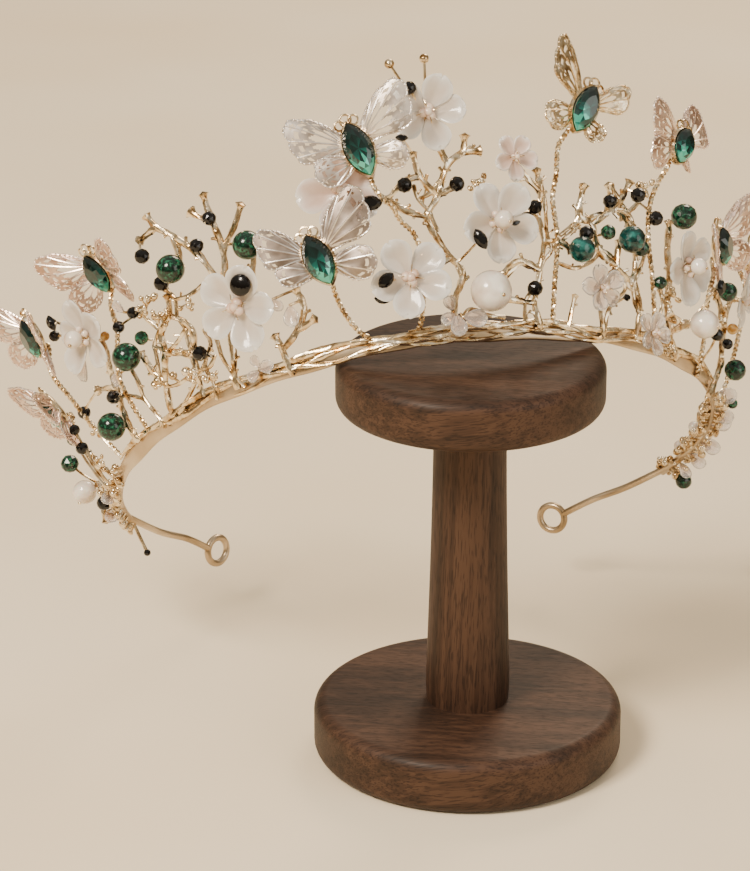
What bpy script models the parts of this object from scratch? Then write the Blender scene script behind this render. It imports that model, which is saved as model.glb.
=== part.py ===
# Butterfly tiara of gilt wire, glass and pearls, on its turned wooden stand.
# Lengths below are millimetres and angles degrees; meshes are made in metres.
# World: +Z up, the stand's axis is the Z axis, its foot stands on Z = 0, the front faces -Y.
from math import atan2, cos, hypot, pi, radians, sin, tan

import bmesh
import bpy
from mathutils import Matrix, Vector

MM = 0.001
GAP = 0.3

# Edges that turn by more than this stay crisp when shaded
SHARP_EDGE = 40.0

# Stand: three turned pieces
BASE_RADIUS = 41.0
BASE_THICKNESS = 15.0
TOP_RADIUS = 35.0
TOP_THICKNESS = 14.0
STAND_HEIGHT = 112.0
EDGE_ROUND = 3.5
STEM_RADIUS_TOP = 9.5
STEM_RADIUS_FOOT = 11.4

# Band: an open circle of flat strip, drawn out to wire at both ends
BAND_RADIUS = 83.0
STRIP_WIDTH = 5.0
STRIP_THICKNESS = 1.1
STRIP_HALF_SWEEP = 112.0
WIRE_RADIUS = 1.0
END_RING_RADIUS = 3.8
END_RING_ACROSS = 50.0
END_RING_BACK = 61.0
END_RING_TWIST = 62.0

# How the tiara leans on the stand's top disc
LEAN = 43.6
TURN = 12.8
SPIN = -1.3
BAND_CENTRE = Vector((-13.0, 54.6, STAND_HEIGHT - 49.7))

# The ornament flares outwards from the band like a cone
FLARE = 20.0

# Front view: places are read across and up from the centre of the stand's top face
VIEW_DOWN = 21.54
EYE = Vector((-24.7, -869.2, 432.9))

# Layers in front of the crown's cone
TWIG_LAYER = 1.6
STEM_LAYER = 3.3
FOOT_LAYER = 1.75
TWIG_RADIUS = 0.7
TWIG_SIDES = 5
BURIED_END = 0.25
KNOB = "knob"
KNOB_SWELL = 1.6
SEAT_LAYER = TWIG_LAYER + TWIG_RADIUS * KNOB_SWELL + GAP
STEM_RADIUS = 0.6

# Butterflies
WING_THICKNESS = 0.8
STONE_WIDTH = 7.0
STONE_TABLE = 0.55
BEZEL_RIM = 0.8
BEZEL_THICKNESS = 1.4

# Flowers
PETAL_RISE = 1.6
PETAL_RIM = 0.7
POST_RADIUS = 0.8

POSE = (
    Matrix.Translation(BAND_CENTRE)
    @ Matrix.Rotation(radians(TURN), 4, "Z")
    @ Matrix.Rotation(radians(-LEAN), 4, "X")
    @ Matrix.Rotation(radians(SPIN), 4, "Z")
)
TO_TIARA = POSE.inverted()

# Wing tips in a butterfly's own frame, for those that the photo shows from the side:
# sideways, headward and forward of the stone's middle
OPEN_WINGS = [(-15.0, 9.5, 5.0), (14.5, 9.9, 4.7), (-11.5, -7.3, 4.0), (11.1, -7.8, 3.7)]

# Front-view columns for a butterfly: head and tail of its stone, the four wing tips as
# (across, up, how far the tip stands in front of the body), then the stem's points with
# their layer, STEM_LAYER where none is given; a side one says how far behind the stand's
# axis its stone floats, and its stem runs from there to the band; left_fold and right_fold
# turn the wings of that side about their own length
BUTTERFLIES = {
    "butterfly_upper_left": {
        "head": (-32.0, 59.5), "tail": (-25.8, 46.4), "proud": 11.0,
        "wings": [(-48.2, 59.5, 3.0), (-18.6, 71.5, 2.0), (-39.8, 45.5, 3.0), (-16.0, 51.5, 3.0)],
        "stem": [(-24.6, 42.6, 9.5), (-20.7, 38.6, 9.0), (-18.0, 34.5, 5.5), (-14.6, 31.0), (-12.4, 24.0),
                 (-12.4, 12.0), (-13.4, 6.6)],
    },
    "butterfly_lower_left": {
        "head": (-42.3, 30.6), "tail": (-35.9, 18.5), "proud": 10.5,
        "wings": [(-55.7, 31.5, 3.0), (-30.2, 44.0, 1.0), (-50.3, 20.8, 2.5), (-24.2, 24.0, 2.5)],
        "stem": [(-34.8, 15.5), (-32.5, 10.8), (-29.2, 6.5), (-26.0, 4.3)],
    },
    "butterfly_upper_right": {
        "head": (31.6, 69.0), "tail": (26.5, 57.7), "proud": 4.5, "left_fold": 18.0,
        "wings": [(23.7, 83.0, 2.0), (40.6, 69.0, 3.0), (19.3, 61.3, 3.0), (33.6, 55.2, 3.0)],
        "stem": [(24.4, 57.0), (22.4, 53.5), (21.9, 46.5), (21.0, 40.0), (22.2, 30.0), (21.5, 18.0),
                 (21.0, 8.5)],
    },
    "butterfly_right": {
        "head": (55.1, 58.2), "tail": (52.8, 49.7), "proud": 5.0, "right_fold": -48.0,
        "wings": [(47.6, 66.2, 3.0), (57.6, 64.0, -5.5), (46.4, 51.6, 2.5), (55.4, 47.6, -3.0)],
        "stem": [(50.6, 48.4), (48.2, 44.5), (46.0, 38.5), (45.6, 30.0), (46.8, 18.0), (47.4, 3.5)],
    },
    "butterfly_right_side": {
        "head": (63.6, 33.0), "tail": (64.4, 23.4), "behind": 55.0, "spread": OPEN_WINGS,
        "stem": [(61.6, 20.5), (58.4, 13.0), (57.8, 3.0), (58.0, -5.6)],
    },
    "butterfly_right_rear": {
        "head": (72.6, 30.9), "tail": (71.3, 21.1), "behind": 90.0, "spread": OPEN_WINGS,
        "stem": [(70.6, 16.5), (69.0, 6.0), (66.0, -6.0), (63.2, -12.5)],
    },
    "butterfly_far_left": {
        "head": (-114.6, 9.6), "tail": (-110.2, 0.0), "behind": 44.0, "spread": OPEN_WINGS,
        "stem": [(-108.0, -4.5), (-103.0, -11.0), (-97.0, -18.5), (-90.2, -25.8)],
    },
    "butterfly_left_low": {
        "head": (-110.0, -10.4), "tail": (-103.8, -17.8), "behind": 54.0, "spread": OPEN_WINGS,
        "stem": [(-102.0, -20.5), (-97.6, -25.4), (-94.5, -28.5), (-91.4, -31.6)],
    },
    "butterfly_upper_far_left": {
        "head": (-98.8, 26.2), "tail": (-92.8, 17.0), "behind": 30.0, "spread": OPEN_WINGS,
        "stem": [(-91.4, 13.0), (-91.0, 6.0), (-90.5, -6.0), (-83.4, -18.8)],
    },
}

# Front-view columns for a flower: across, up, petal reach, turn, post length, pearl radius or 0
FLOWERS = {
    "flower_left": (-58.3, 12.6, 11.5, 54.0, 2.6, 0.0),
    "flower_centre_low": (-15.8, 19.6, 11.0, 41.0, 3.2, 0.0),
    "flower_centre": (5.9, 34.0, 11.0, 52.0, 2.6, 2.5),
    "flower_top": (-11.9, 62.0, 10.5, 66.0, 2.0, 0.0),
    "flower_right_side": (52.2, 22.6, 10.0, 60.0, 2.6, 2.3),
    "flower_far_left": (-96.5, 5.8, 10.5, 75.0, 2.0, 2.5),
    "flower_upper_left": (-33.0, 42.0, 11.5, 30.0, 1.6, 0.0),
    "flower_right_rear": (67.0, 14.5, 8.0, 20.0, 1.6, 0.0),
    "flower_enamel": (10.0, 50.5, 6.5, 60.0, 1.6, 0.0),
    "flower_small_right": (31.9, 17.0, 6.5, 35.0, 1.6, 0.0),
    "flower_low_right": (43.4, 5.4, 6.0, 70.0, 3.0, 0.0),
}

# Front-view columns for a round stone: across, up, radius, finish
ROUND_STONES = {
    "pearl_front": (3.4, 16.0, 5.3, "pearl"),
    "pearl_right": (55.6, 8.0, 3.9, "pearl"),
    "pearl_left": (-95.5, -33.0, 3.4, "pearl"),
    "bead_green_upper_left": (-74.5, 22.6, 3.8, "green_glass"),
    "bead_green_left": (-85.0, 0.5, 3.8, "green_glass"),
    "bead_green_low_left": (-88.4, -17.0, 3.8, "green_glass"),
    "bead_green_flower": (-55.8, 28.4, 3.8, "green_glass"),
    "bead_teal": (26.0, 26.8, 3.5, "teal_glass"),
    "bead_teal_right": (38.1, 29.4, 3.7, "teal_glass"),
    "bead_green_upper_right": (50.9, 35.4, 3.6, "green_glass"),
    "bead_green_rear": (62.5, 16.4, 2.6, "green_glass"),
    "bead_green_end": (63.9, -3.4, 3.0, "green_glass"),
}

# Front-view points of each branch; KNOB after the last point marks a knobbed tip
SPRAYS = {
    "twigs_left_rear": [
        [(-77.0, -14.5), (-78.5, -7.5), (-78.7, 0.7), (-79.7, 5.6), (-77.6, 10.3), (-78.1, 15.4), KNOB],
        [(-78.7, 0.7), (-74.7, 0.6), (-71.7, 0.0), (-71.4, 5.6), (-73.8, 8.4), (-77.6, 10.3)],
        [(-71.7, 0.0), (-70.0, -6.0), (-68.6, -10.6)],
        [(-78.5, -7.5), (-82.0, -4.0), (-85.0, 0.5), KNOB],
    ],
    "twigs_left_upper": [
        [(-60.5, -7.0), (-62.0, 8.0), (-63.5, 17.0), (-63.7, 27.0), (-66.5, 34.0), (-68.9, 41.5), KNOB],
        [(-63.7, 27.0), (-61.0, 33.0), (-59.1, 38.9), KNOB],
        [(-66.5, 34.0), (-72.5, 36.8), KNOB],
        [(-63.5, 17.0), (-67.5, 22.5), (-70.7, 26.5), (-76.6, 30.6), (-81.0, 33.0), (-83.6, 35.8), KNOB],
        [(-81.0, 33.0), (-85.4, 29.4), KNOB],
        [(-76.6, 30.6), (-75.4, 26.5), (-74.5, 22.6), KNOB],
        [(-62.0, 8.0), (-58.3, 12.6), (-56.4, 20.0), (-55.8, 28.4), KNOB],
    ],
    "twigs_left_front": [
        [(-46.5, -3.8), (-48.5, 1.5), (-50.6, 5.0), KNOB],
        [(-48.5, 1.5), (-44.5, 6.5), (-43.0, 12.0), (-45.0, 17.0), KNOB],
        [(-44.5, 6.5), (-40.0, 9.5), KNOB],
    ],
    "twigs_centre": [
        [(-4.5, 8.0), (-3.9, 14.7), (-2.1, 21.4), (-5.2, 25.2), (-8.6, 29.9), (-11.4, 35.6), (-8.6, 41.0),
         (-6.0, 49.2), (-2.1, 52.3), (-1.6, 56.6), KNOB],
        [(-2.1, 52.3), (2.4, 52.6), KNOB],
        [(-6.0, 49.2), (-8.6, 54.5), (-11.6, 60.5), KNOB],
        [(-8.6, 41.0), (-13.2, 46.1), (-15.0, 52.0), KNOB],
        [(-13.2, 46.1), (-18.0, 44.2), (-21.7, 40.4), (-27.0, 41.6), (-32.8, 42.0), KNOB],
        [(-21.7, 40.4), (-16.5, 37.0), (-11.4, 35.6)],
        [(-5.2, 25.2), (-10.5, 22.0), (-15.8, 19.8), KNOB],
        [(-8.6, 41.0), (-4.2, 43.6), KNOB],
    ],
    "twigs_centre_right": [
        [(17.7, 7.6), (16.5, 13.5), (17.7, 21.9), (18.7, 29.5), (17.2, 36.6), (17.9, 42.0), (17.0, 47.8),
         KNOB],
        [(18.7, 29.5), (23.0, 29.0), (26.0, 27.0), KNOB],
        [(17.7, 21.9), (12.1, 24.2), (8.0, 20.6), KNOB],
        [(16.5, 13.5), (9.0, 14.5), (3.4, 16.0), KNOB],
        [(17.2, 36.6), (11.5, 36.0), (6.0, 34.0), KNOB],
        [(17.9, 42.0), (13.5, 46.5), (10.2, 50.2), KNOB],
    ],
    "twigs_right": [
        [(34.0, 6.0), (33.4, 11.6), (32.2, 17.2), (37.3, 22.4), (33.0, 26.6), (31.0, 33.7), (27.8, 36.0),
         (29.1, 43.8), KNOB],
        [(31.0, 33.7), (36.8, 37.1), (40.9, 33.5), (43.6, 28.8), KNOB],
        [(36.8, 37.1), (35.4, 44.0), KNOB],
        [(36.8, 37.1), (40.9, 44.6), KNOB],
        [(37.3, 22.4), (41.4, 19.5), (42.3, 26.0), (40.9, 33.5)],
        [(41.4, 19.5), (43.4, 12.0), (42.5, 4.2)],
        [(37.3, 22.4), (38.1, 29.4), KNOB],
    ],
    "twigs_right_coral": [
        [(52.6, 0.0), (51.0, 6.0), (50.4, 13.0), (51.0, 19.0), (50.6, 27.0), (50.9, 34.4), KNOB],
        [(51.0, 19.0), (52.2, 22.6), KNOB],
        [(51.0, 6.0), (55.6, 8.0), KNOB],
    ],
    "twigs_right_rear": [
        [(61.6, -9.4), (63.9, -3.4), (64.8, 4.0), (65.4, 10.0), (67.0, 14.5), KNOB],
        [(65.4, 10.0), (62.5, 16.4), KNOB],
    ],
    "twigs_far_left": [
        [(-86.4, -21.0), (-88.4, -17.0), (-91.5, -8.0), (-94.0, 1.0), (-96.5, 5.8), KNOB],
        [(-91.5, -8.0), (-96.0, -9.0), KNOB],
    ],
    "twigs_left_end": [
        [(-92.2, -34.6), (-93.6, -36.6), (-95.8, -33.0), KNOB],
        [(-93.4, -36.3), (-94.6, -39.4), (-93.8, -42.8), KNOB],
    ],
}

# Outlines in a wing's own measures: along from the body to the tip, and towards the head
FORE_WING = [(0.0, 0.10), (0.3, 0.17), (0.62, 0.19), (0.88, 0.11), (1.0, 0.0), (0.95, -0.16),
             (0.8, -0.34), (0.6, -0.49), (0.42, -0.46), (0.2, -0.26), (0.0, -0.12)]
FORE_WING_GAPS = [
    [(0.3, 0.09), (0.6, 0.11), (0.84, 0.05), (0.6, 0.03)],
    [(0.3, -0.02), (0.6, -0.03), (0.86, -0.04), (0.82, -0.14), (0.56, -0.12)],
    [(0.3, -0.12), (0.56, -0.2), (0.74, -0.24), (0.6, -0.38), (0.46, -0.34)],
]
HIND_WING = [(0.0, 0.12), (0.3, 0.28), (0.65, 0.38), (0.92, 0.26), (1.0, 0.0), (0.9, -0.26),
             (0.6, -0.38), (0.25, -0.26), (0.0, -0.1)]
HIND_WING_GAPS = [
    [(0.3, 0.09), (0.6, 0.25), (0.84, 0.17), (0.86, 0.03)],
    [(0.3, -0.04), (0.86, -0.07), (0.82, -0.17), (0.6, -0.25), (0.36, -0.17)],
]


def material(name, colour, metallic, roughness, transmission=0.0):
    made = bpy.data.materials.new(name)
    made.use_nodes = True
    shader = made.node_tree.nodes["Principled BSDF"]
    shader.inputs["Base Color"].default_value = (*colour, 1.0)
    shader.inputs["Metallic"].default_value = metallic
    shader.inputs["Roughness"].default_value = roughness
    shader.inputs["Transmission Weight"].default_value = transmission
    made.diffuse_color = (*colour, 1.0)
    return made


FINISHES = {
    "wood": ((0.12, 0.055, 0.03), 0.0, 0.5),
    "gold": ((0.78, 0.56, 0.28), 1.0, 0.28),
    "emerald": ((0.01, 0.22, 0.13), 0.0, 0.08, 0.6),
    "frosted_glass": ((0.86, 0.86, 0.84), 0.0, 0.4, 0.4),
    "pearl": ((0.86, 0.8, 0.7), 0.0, 0.25),
    "green_glass": ((0.03, 0.2, 0.12), 0.0, 0.15, 0.5),
    "teal_glass": ((0.02, 0.14, 0.14), 0.0, 0.12, 0.5),
}


def add_object(name, bm, finish, parent=None):
    bmesh.ops.recalc_face_normals(bm, faces=bm.faces)
    if bm.calc_volume(signed=True) < 0.0:
        bmesh.ops.reverse_faces(bm, faces=bm.faces)
    bmesh.ops.scale(bm, vec=(MM, MM, MM), verts=bm.verts)
    mesh = bpy.data.meshes.new(name)
    bm.to_mesh(mesh)
    bm.free()
    mesh.shade_smooth()
    mesh.set_sharp_from_angle(angle=radians(SHARP_EDGE))
    made = bpy.data.objects.new(name, mesh)
    bpy.context.collection.objects.link(made)
    mesh.materials.append(material(name + "_" + finish, *FINISHES[finish]))
    made.parent = parent
    return made


def loft(bm, rings, closed=False):
    """Skins a row of equal rings of points; an open row gets flat caps."""
    rows = [[bm.verts.new(point) for point in ring] for ring in rings]
    count = len(rows[0])
    pairs = list(zip(rows, rows[1:]))
    if closed:
        pairs.append((rows[-1], rows[0]))
    for near, far in pairs:
        for i in range(count):
            j = (i + 1) % count
            bm.faces.new((near[i], near[j], far[j], far[i]))
    if not closed:
        bm.faces.new(rows[0][::-1])
        bm.faces.new(rows[-1])


def circle(radius, height, count):
    turns = [2 * pi * i / count for i in range(count)]
    return [Vector((radius * cos(t), radius * sin(t), height)) for t in turns]


def lathe(name, profile, count, finish, parent=None):
    bm = bmesh.new()
    loft(bm, [circle(radius, height, count) for radius, height in profile])
    return add_object(name, bm, finish, parent)


def union(main, other):
    """Fuses other into main; the operand stays as a hidden wire object.

    EXACT drops some of these thin unions, so the closed pieces go through MANIFOLD.
    """
    other.hide_render = True
    other.display_type = "WIRE"
    fuse = main.modifiers.new("fuse_" + other.name, "BOOLEAN")
    fuse.operation = "UNION"
    fuse.solver = "MANIFOLD"
    fuse.object = other
    return main


def crown_radius(height, proud):
    return BAND_RADIUS + proud / cos(radians(FLARE)) + height * tan(radians(FLARE))


def sight_ray(across, up):
    """The line of sight at a front-view place, from the eye, in the world."""
    down = radians(VIEW_DOWN)
    aim = Vector((across, 0.0, STAND_HEIGHT)) + Vector((0.0, sin(down), cos(down))) * up
    return aim - EYE


def at_depth(across, up, behind):
    """The point of a sight line that lies behind the stand's axis by a distance."""
    ray = sight_ray(across, up)
    return TO_TIARA @ (EYE + ray * ((behind - EYE.y) / ray.y))


def seen(across, up, proud=0.0):
    """Where the line of sight at a front-view place meets the crown's cone, in the tiara's frame."""
    eye = TO_TIARA @ EYE
    ray = TO_TIARA @ (EYE + sight_ray(across, up)) - eye

    def outside(reach):
        point = eye + ray * reach
        return hypot(point.x, point.y) - crown_radius(point.z, proud)

    first, step, steps = 0.86, 0.005, 70
    reaches = [first + step * i for i in range(steps)]
    crossing = [reach for reach in reaches if outside(reach) < 0.0]
    if not crossing:
        return eye + ray * min(reaches, key=outside)
    near, far = crossing[0] - step, crossing[0]
    for _ in range(20):
        middle = (near + far) / 2
        if outside(middle) > 0.0:
            near = middle
        else:
            far = middle
    return eye + ray * near


def seated(across, up, height):
    """A point straight out from the front of the twigs at a front-view place."""
    twig = seen(across, up, TWIG_LAYER)
    return twig + outward(twig) * (SEAT_LAYER - TWIG_LAYER + height)


def outward(point):
    """The crown cone's outward direction at a point of the tiara's frame."""
    flat = Vector((point.x, point.y, 0.0)).normalized()
    return flat * cos(radians(FLARE)) - Vector((0, 0, 1)) * sin(radians(FLARE))


def frame_at(point, facing):
    """Axes with Z along facing and Y as near up the crown as it goes."""
    z = facing.normalized()
    x = Vector((0, 0, 1)).cross(z).normalized()
    y = z.cross(x)
    return Matrix.Translation(point) @ Matrix((x, y, z)).transposed().to_4x4()


def tube_rings(points, radius, sides):
    rings = []
    across = None
    for i, point in enumerate(points):
        ahead = (points[min(i + 1, len(points) - 1)] - points[max(i - 1, 0)]).normalized()
        if across is None:
            across = ahead.orthogonal().normalized()
        across = (across - ahead * across.dot(ahead)).normalized()
        rise = ahead.cross(across)
        turns = [2 * pi * k / sides for k in range(sides)]
        rings.append([point + (across * cos(t) + rise * sin(t)) * radius for t in turns])
    return rings


def build_stand():
    def turned_disc(name, radius, low, high):
        arc = [radians(90.0 * i / 2) for i in range(3)]
        core = radius - EDGE_ROUND
        profile = [(core + EDGE_ROUND * sin(a), low + EDGE_ROUND * (1 - cos(a))) for a in arc]
        profile += [(core + EDGE_ROUND * cos(a), high - EDGE_ROUND * (1 - sin(a))) for a in arc]
        return lathe(name, profile, 36, "wood")

    turned_disc("stand_base", BASE_RADIUS, 0.0, BASE_THICKNESS)
    turned_disc("stand_top", TOP_RADIUS, STAND_HEIGHT - TOP_THICKNESS, STAND_HEIGHT)
    foot, head = BASE_THICKNESS + GAP, STAND_HEIGHT - TOP_THICKNESS - GAP
    profile = []
    for step in range(5):
        share = step / 4
        radius = STEM_RADIUS_TOP + (STEM_RADIUS_FOOT - STEM_RADIUS_TOP) * (1 - share) ** 1.6
        profile.append((radius, foot + (head - foot) * share))
    lathe("stand_stem", profile, 24, "wood")


def build_band(tiara):
    """The strip with its drawn wire ends and end rings, soldered as one piece."""
    flare = radians(FLARE)
    stations = 30
    rings = []
    for i in range(stations + 1):
        turn = radians(STRIP_HALF_SWEEP * (2 * i / stations - 1))
        taper = min(1.0, (stations / 2 - abs(i - stations / 2)) / 5)
        half_width = WIRE_RADIUS + (STRIP_WIDTH / 2 - WIRE_RADIUS) * taper
        half_thick = STRIP_THICKNESS / 2 + (WIRE_RADIUS - STRIP_THICKNESS / 2) * (1 - taper) * 0.9
        radial = Vector((sin(turn), -cos(turn), 0.0))
        rise = radial * sin(flare) + Vector((0, 0, cos(flare)))
        out = radial * cos(flare) - Vector((0, 0, sin(flare)))
        centre = radial * BAND_RADIUS
        corners = ((-1, -1), (1, -1), (1, 1), (-1, 1))
        rings.append([centre + rise * half_width * a + out * half_thick * b for a, b in corners])
    bm = bmesh.new()
    loft(bm, rings)
    band = add_object("band", bm, "gold", tiara)
    for side, name in ((-1, "left"), (1, "right")):
        start = radians(STRIP_HALF_SWEEP - 1.5)
        ring_centre = Vector((side * END_RING_ACROSS, END_RING_BACK, 0.0))
        path = [
            Vector((side * BAND_RADIUS * sin(start), -BAND_RADIUS * cos(start), 0.0)),
            Vector((side * 68.6, 40.8, 0.0)),
            Vector((side * 60.0, 48.6, 0.0)),
            ring_centre + Vector((side * END_RING_RADIUS * 0.75, -END_RING_RADIUS * 0.66, 0.0)),
        ]
        bm = bmesh.new()
        loft(bm, tube_rings(path, WIRE_RADIUS * 0.93, 7))
        union(band, add_object("band_wire_" + name, bm, "gold", tiara))
        bm = bmesh.new()
        turns = [2 * pi * i / 14 for i in range(14)]
        twist = Matrix.Rotation(radians(-side * END_RING_TWIST), 3, path[-1] - ring_centre)
        hoop = []
        for turn in turns:
            spoke = twist @ Vector((cos(turn), sin(turn), 0.0))
            centre = ring_centre + spoke * END_RING_RADIUS
            angles = [2 * pi * (k + 0.3) / 6 for k in range(6)]
            rim = [spoke * cos(a) + twist @ Vector((0, 0, sin(a))) for a in angles]
            hoop.append([centre + step * WIRE_RADIUS for step in rim])
        loft(bm, hoop, closed=True)
        union(band, add_object("band_ring_" + name, bm, "gold", tiara))


def twig_rings(points, knob):
    """Rings of one branch; a knobbed tip swells and closes in."""
    rings = tube_rings(points, TWIG_RADIUS, TWIG_SIDES)
    if knob:
        tip, before = points[-1], points[-2]
        ahead = (tip - before).normalized()
        last = [corner - tip for corner in rings.pop()]
        for back, swell in ((1.3, 1.0), (-0.4, KNOB_SWELL)):
            rings.append([tip - ahead * back + corner * swell for corner in last])
    return rings


def build_spray(name, branches, tiara):
    """Cast twigs fused into one branching solid; a last point marked KNOB swells."""
    spray = None
    for number, branch in enumerate(branches):
        knob = branch[-1] == KNOB
        places = branch[:-1] if knob else branch
        points = [seen(across, up, TWIG_LAYER) for across, up in places]
        if number:
            points[0] -= (points[1] - points[0]).normalized() * BURIED_END
            if not knob:
                points[-1] += (points[-1] - points[-2]).normalized() * BURIED_END
        bm = bmesh.new()
        loft(bm, twig_rings(points, knob))
        part_name = name if spray is None else name + "_" + str(number)
        twig = add_object(part_name, bm, "gold", tiara)
        if spray is None:
            spray = twig
        else:
            union(spray, twig)
    return spray


def flat_plate(outline, gaps, thickness):
    """A pierced plate in its own XY plane."""
    bm = bmesh.new()
    edges = []
    for loop in [outline] + gaps:
        verts = [bm.verts.new((u, v, 0.0)) for u, v in loop]
        edges += [bm.edges.new((verts[i - 1], verts[i])) for i in range(len(verts))]
    bmesh.ops.triangle_fill(bm, use_beauty=True, edges=edges, normal=(0.0, 0.0, 1.0))
    grown = bmesh.ops.extrude_face_region(bm, geom=bm.faces[:] + bm.edges[:] + bm.verts[:])
    top = [item for item in grown["geom"] if isinstance(item, bmesh.types.BMVert)]
    bmesh.ops.translate(bm, vec=(0, 0, thickness), verts=top)
    bmesh.ops.translate(bm, vec=(0, 0, -thickness / 2), verts=bm.verts)
    return bm


def navette_outline(half_length, half_width, count=12):
    """Pointed oval from two arcs, its points on Y."""
    radius = (half_length ** 2 + half_width ** 2) / (2 * half_width)
    sweep = atan2(half_length, radius - half_width)
    points = []
    for side in (1, -1):
        for i in range(count // 2):
            turn = sweep * (4 * i / count - 1)
            x = radius * cos(turn) - (radius - half_width)
            points.append((side * x, side * radius * sin(turn)))
    return points


def build_wing(name, shape, gaps, root, tip, headward, facing, fold, tiara):
    """A pierced wing from its root on the body to its tip, turned about its own length by the fold."""
    along = tip - root
    length = along.length
    side = (headward - along * headward.dot(along) / length ** 2).normalized() * length * 0.95
    side = Matrix.Rotation(radians(fold), 3, along) @ side
    normal = along.cross(side).normalized()
    if normal.dot(facing) < 0:
        normal = -normal
    bm = flat_plate(shape, gaps, WING_THICKNESS)
    for vert in bm.verts:
        u, v, w = vert.co
        vert.co = root + along * u + side * v + normal * w
    return add_object(name, bm, "gold", tiara)


def stem_points(row):
    """The stem from below the stone down to its foot on the band's front."""
    *upper, foot = row["stem"]
    last = seen(*foot, FOOT_LAYER)
    points = []
    for i, place in enumerate(upper):
        if "behind" in row:
            share = (i + 1) / len(row["stem"])
            foot_behind = (POSE @ last).y
            point = at_depth(*place, row["behind"] + (foot_behind - row["behind"]) * share)
            spread = max(1.0, crown_radius(point.z, FOOT_LAYER) / hypot(point.x, point.y))
            points.append(Vector((point.x * spread, point.y * spread, point.z)))
        else:
            points.append(seen(place[0], place[1], place[2] if len(place) > 2 else STEM_LAYER))
    return points + [last]


def build_butterfly(name, row, tiara):
    """One metal solid of bezel, four pierced wings and stem, with its navette stone in front."""
    place = at_depth if "behind" in row else seen
    depth = row["behind"] if "behind" in row else row["proud"]
    head = place(*row["head"], depth)
    tail = place(*row["tail"], depth)
    middle = (head + tail) / 2
    headward = (head - tail).normalized()
    facing = outward(middle)
    facing = (facing - headward * facing.dot(headward)).normalized()
    sideways = headward.cross(facing)
    axes = Matrix.Translation(middle) @ Matrix((sideways, headward, facing)).transposed().to_4x4()
    half_length = (head - tail).length / 2

    rim = navette_outline(half_length + BEZEL_RIM, STONE_WIDTH / 2 + BEZEL_RIM)
    back = [(x * 0.8, y * 0.85) for x, y in rim]
    bm = bmesh.new()
    front_ring = [axes @ Vector((x, y, 0.0)) for x, y in rim]
    back_ring = [axes @ Vector((x, y, -BEZEL_THICKNESS)) for x, y in back]
    loft(bm, [back_ring, front_ring])
    body = add_object(name, bm, "gold", tiara)

    names = ("fore_left", "fore_right", "hind_left", "hind_right")
    for part, (across, up, lift) in zip(names, row.get("wings", row.get("spread"))):
        fore = part.startswith("fore")
        flank = STONE_WIDTH * (-0.32 if part.endswith("left") else 0.32)
        along = half_length * (0.3 if fore else -0.3)
        root = axes @ Vector((flank, along, -BEZEL_THICKNESS * (0.5 if fore else 0.65)))
        if "wings" in row:
            tip = seen(across, up, row["proud"] + lift)
        else:
            tip = axes @ Vector((across, up, lift))
        shape, gaps = (FORE_WING, FORE_WING_GAPS) if fore else (HIND_WING, HIND_WING_GAPS)
        fold = row.get(part.split("_")[1] + "_fold", 0.0)
        union(body, build_wing(name + "_" + part, shape, gaps, root, tip, headward, facing, fold, tiara))

    start = axes @ Vector((0.0, -half_length * 0.55, -BEZEL_THICKNESS * 0.6))
    drop = axes @ Vector((0.0, -half_length * 0.8, -BEZEL_THICKNESS - 1.2))
    bm = bmesh.new()
    loft(bm, tube_rings([start, drop] + stem_points(row), STEM_RADIUS, 5))
    union(body, add_object(name + "_stem", bm, "gold", tiara))
    build_navette(name.replace("butterfly", "stone"), axes, half_length, tiara)


def build_navette(name, axes, half_length, tiara):
    """A navette cut with a flat table, crown facets, a girdle and a blunt pavilion."""
    levels = ((0.72, GAP), (1.0, 1.1), (1.0, 1.5), (STONE_TABLE + 0.12, 2.9))
    bm = bmesh.new()
    rings = []
    for share, height in levels:
        rings.append([axes @ Vector((x * share, y * share, height))
                      for x, y in navette_outline(half_length, STONE_WIDTH / 2)])
    loft(bm, rings)
    add_object(name, bm, "emerald", tiara)


def build_flower(name, row, tiara):
    """Five domed petals in one pressed piece, with the post that carries it."""
    across, up, reach, turn, post, pearl = row
    place = seated(across, up, post)
    axes = frame_at(place, outward(place))
    steps = 5 if reach > 7.0 else 4
    post_foot = -post
    count = 5 * steps

    def lobed(share, height):
        ring = []
        for i in range(count):
            angle = radians(turn) + 2 * pi * i / count
            lobe = abs(cos(2.5 * (angle - radians(turn)))) ** 0.55
            radius = reach * share * (0.42 + 0.58 * lobe)
            ring.append(axes @ Vector((radius * cos(angle), radius * sin(angle), height)))
        return ring

    def round_ring(radius, height):
        return [axes @ point for point in circle(radius, height, count)]

    rings = [round_ring(POST_RADIUS, post_foot), round_ring(POST_RADIUS, 0.0), lobed(0.96, PETAL_RIM)]
    rings.append(lobed(1.0, PETAL_RIM * 2))
    if steps > 4:
        rings.append(lobed(0.62, PETAL_RISE + PETAL_RIM))
    rings.append(lobed(0.22, PETAL_RIM * 2))
    bm = bmesh.new()
    loft(bm, rings)
    add_object(name, bm, "frosted_glass", tiara)
    if pearl:
        middle = axes @ Vector((0.0, 0.0, PETAL_RIM * 2 + GAP + pearl))
        build_ball(name.replace("flower", "flower_pearl"), middle, pearl, "pearl", tiara)


def build_ball(name, place, radius, finish, tiara):
    sides, rows = (12, 7) if finish == "pearl" and radius > 3.0 else (10, 6)
    bm = bmesh.new()
    bmesh.ops.create_uvsphere(bm, u_segments=sides, v_segments=rows, radius=radius)
    bmesh.ops.transform(bm, matrix=frame_at(place, outward(place)), verts=bm.verts)
    add_object(name, bm, finish, tiara)


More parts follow.
